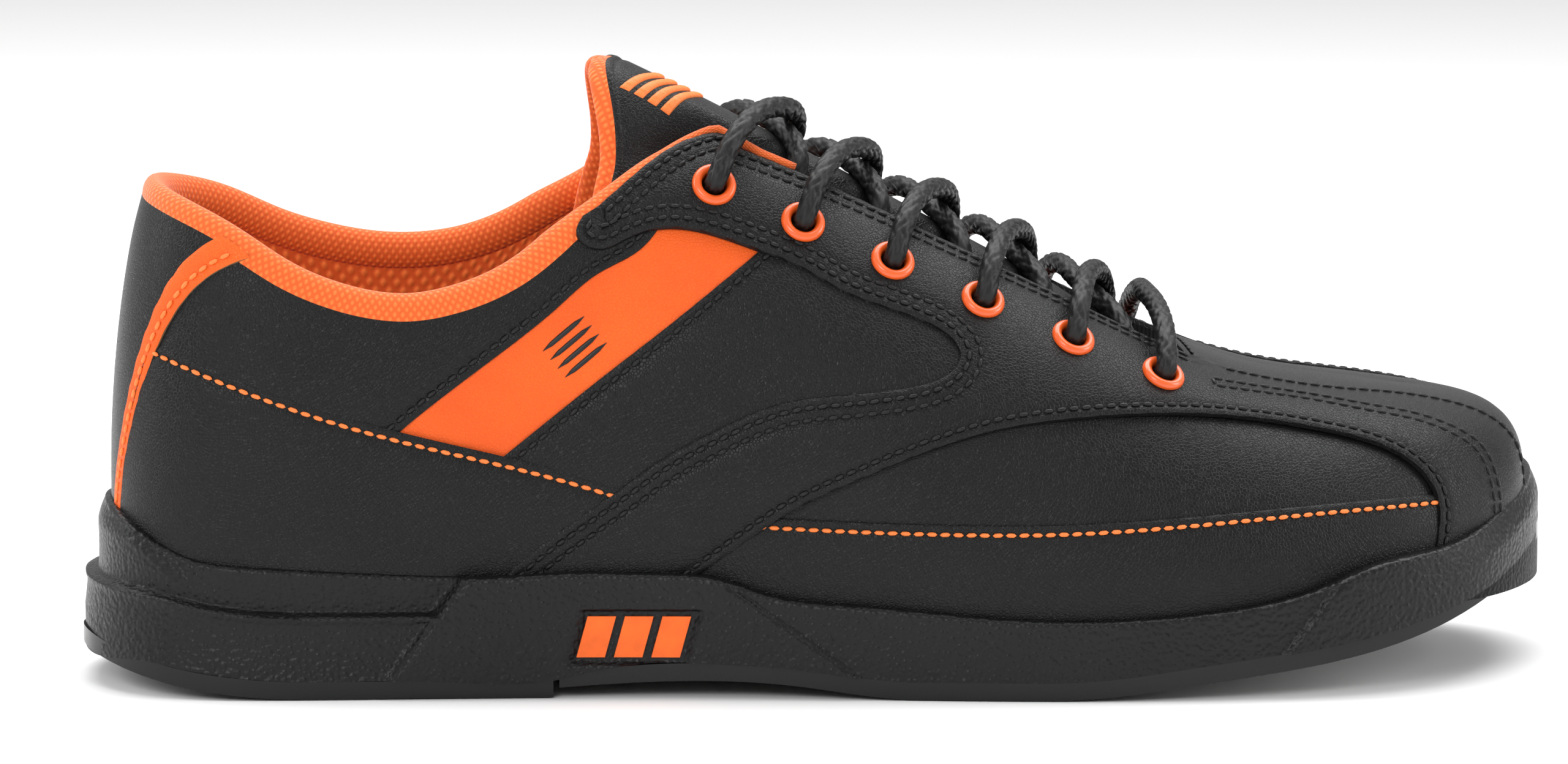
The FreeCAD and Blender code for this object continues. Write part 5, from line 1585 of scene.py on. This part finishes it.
def build_midsole():
    """Moulded cup: side wall, rolled lip, and the floor under the foot, as one closed mesh."""
    outer, inner = midsole_loops(LATERAL), midsole_loops(MEDIAL)
    parts = [np.concatenate([outer, inner[:, ::-1]], axis=1).reshape(-1, 3)]
    faces = grid_faces(len(outer), 2 * WALL_COUNT, close_columns=True).tolist()
    share = np.linspace(0, 1, 15)[:, None, None]
    under, floor_inside = [side_rows[0] + (other[0] - side_rows[0]) * share
                           for side_rows, other in ((outer, inner), (outer[::-1], inner[::-1]))]
    under[1:-1, :, 2] = SOLE_BOTTOM(under[1:-1, :, 0])
    for sheet in (under, floor_inside):
        start = sum(len(part) for part in parts)
        parts.append(sheet.reshape(-1, 3))
        faces += (grid_faces(len(share), WALL_COUNT) + start).tolist()
    points = np.concatenate(parts)
    _, first_of, place_of = np.unique(np.round(points, 3), axis=0, return_index=True, return_inverse=True)
    merged = [list(dict.fromkeys(place_of.ravel()[face].tolist())) for face in faces]
    merged = [corners for corners in merged if len(corners) > 2]
    midsole = add_mesh("midsole_moulded", points[first_of], merged, midsole_rubber)
    midsole.data.set_sharp_from_angle(angle=math.radians(60))
    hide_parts("midsole")


build_midsole()

# ---------------------------------------------------------------- finishes of the CAD pieces

FINISHES = {
    "heel_pad": outsole_rubber, "outsole_forepart": outsole_rubber, "slide_pad": microfibre,
    "sole_badge": badge_rubber, "shank": shank_steel, "heel_cushion": foam, "insole_board": board,
    "sock_liner": black_textile, "vamp_lining": black_textile, "interlining": black_textile,
    "toe_puff": stiffener, "heel_counter": stiffener, "eyelet_washers_lateral": washer_brass,
    "eyelet_washers_medial": washer_brass, "aglet_lateral": aglet_plastic, "aglet_medial": aglet_plastic,
}
for node, finish in FINISHES.items():
    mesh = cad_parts[node].data
    mesh.materials.clear()
    mesh.materials.append(finish)
    mesh.polygons.foreach_set("material_index", [0] * len(mesh.polygons))

# ---------------------------------------------------------------- floor, light and camera

FLOOR_SIZE = 6000.0
CAMERA_AZIMUTH = math.radians(-5)
CAMERA_HEIGHT_ANGLE = math.radians(8)
CAMERA_DISTANCE = 1700.0
CAMERA_LENS = 188.4
AIM = np.array([0.0, 0.0, 60.0])
AIM_RIGHT = -5.6
AIM_UP = -1.5

half = FLOOR_SIZE / 2
corners = [(-half, -half, -0.2), (half, -half, -0.2), (half, half, -0.2), (-half, half, -0.2)]
paper = Shader("floor_paper", (0.86, 0.86, 0.86), 0.85).material
floor = add_mesh("floor", corners, [(0, 1, 2, 3)], paper, fix_normals=False)


def add_softbox(name, location, size, power, aim=(0.0, 0.0, 50.0)):
    """A rectangular lamp at a place in millimetres, turned towards a point."""
    data = bpy.data.lights.new(name, "AREA")
    data.shape = "RECTANGLE"
    data.size, data.size_y = size[0] * MM, size[1] * MM
    data.energy = power
    lamp = bpy.data.objects.new(name, data)
    scene.collection.objects.link(lamp)
    lamp.location = Vector(location) * MM
    lamp.rotation_euler = (lamp.location - Vector(aim) * MM).to_track_quat("Z", "Y").to_euler()


add_softbox("overhead_softbox", (100, 350, 1200), (1700, 900), 24)
add_softbox("front_softbox", (-650, -1300, 800), (700, 500), 9)
add_softbox("toe_softbox", (1200, -300, 500), (500, 700), 6)
add_softbox("heel_softbox", (-1200, 200, 600), (500, 700), 6)

world = bpy.data.worlds.new("studio")
scene.world = world
world.use_nodes = True
backdrop = world.node_tree.nodes["Background"]
backdrop.inputs["Color"].default_value = (1, 1, 1, 1)
backdrop.inputs["Strength"].default_value = 0.6
scene.view_settings.view_transform = "Standard"

lens = bpy.data.cameras.new("camera")
lens.sensor_width = 36
lens.lens = CAMERA_LENS
camera = bpy.data.objects.new("camera", lens)
scene.collection.objects.link(camera)
flat_share = math.cos(CAMERA_HEIGHT_ANGLE)
back = np.array([math.sin(CAMERA_AZIMUTH) * flat_share, -math.cos(CAMERA_AZIMUTH) * flat_share,
                 math.sin(CAMERA_HEIGHT_ANGLE)])
right = np.array([math.cos(CAMERA_AZIMUTH), math.sin(CAMERA_AZIMUTH), 0.0])
aim = AIM + AIM_RIGHT * right + AIM_UP * np.cross(back, right)
camera.location = Vector(((aim + back * CAMERA_DISTANCE) * MM).tolist())
camera.rotation_euler = Vector(back.tolist()).to_track_quat("Z", "Y").to_euler()
scene.camera = camera
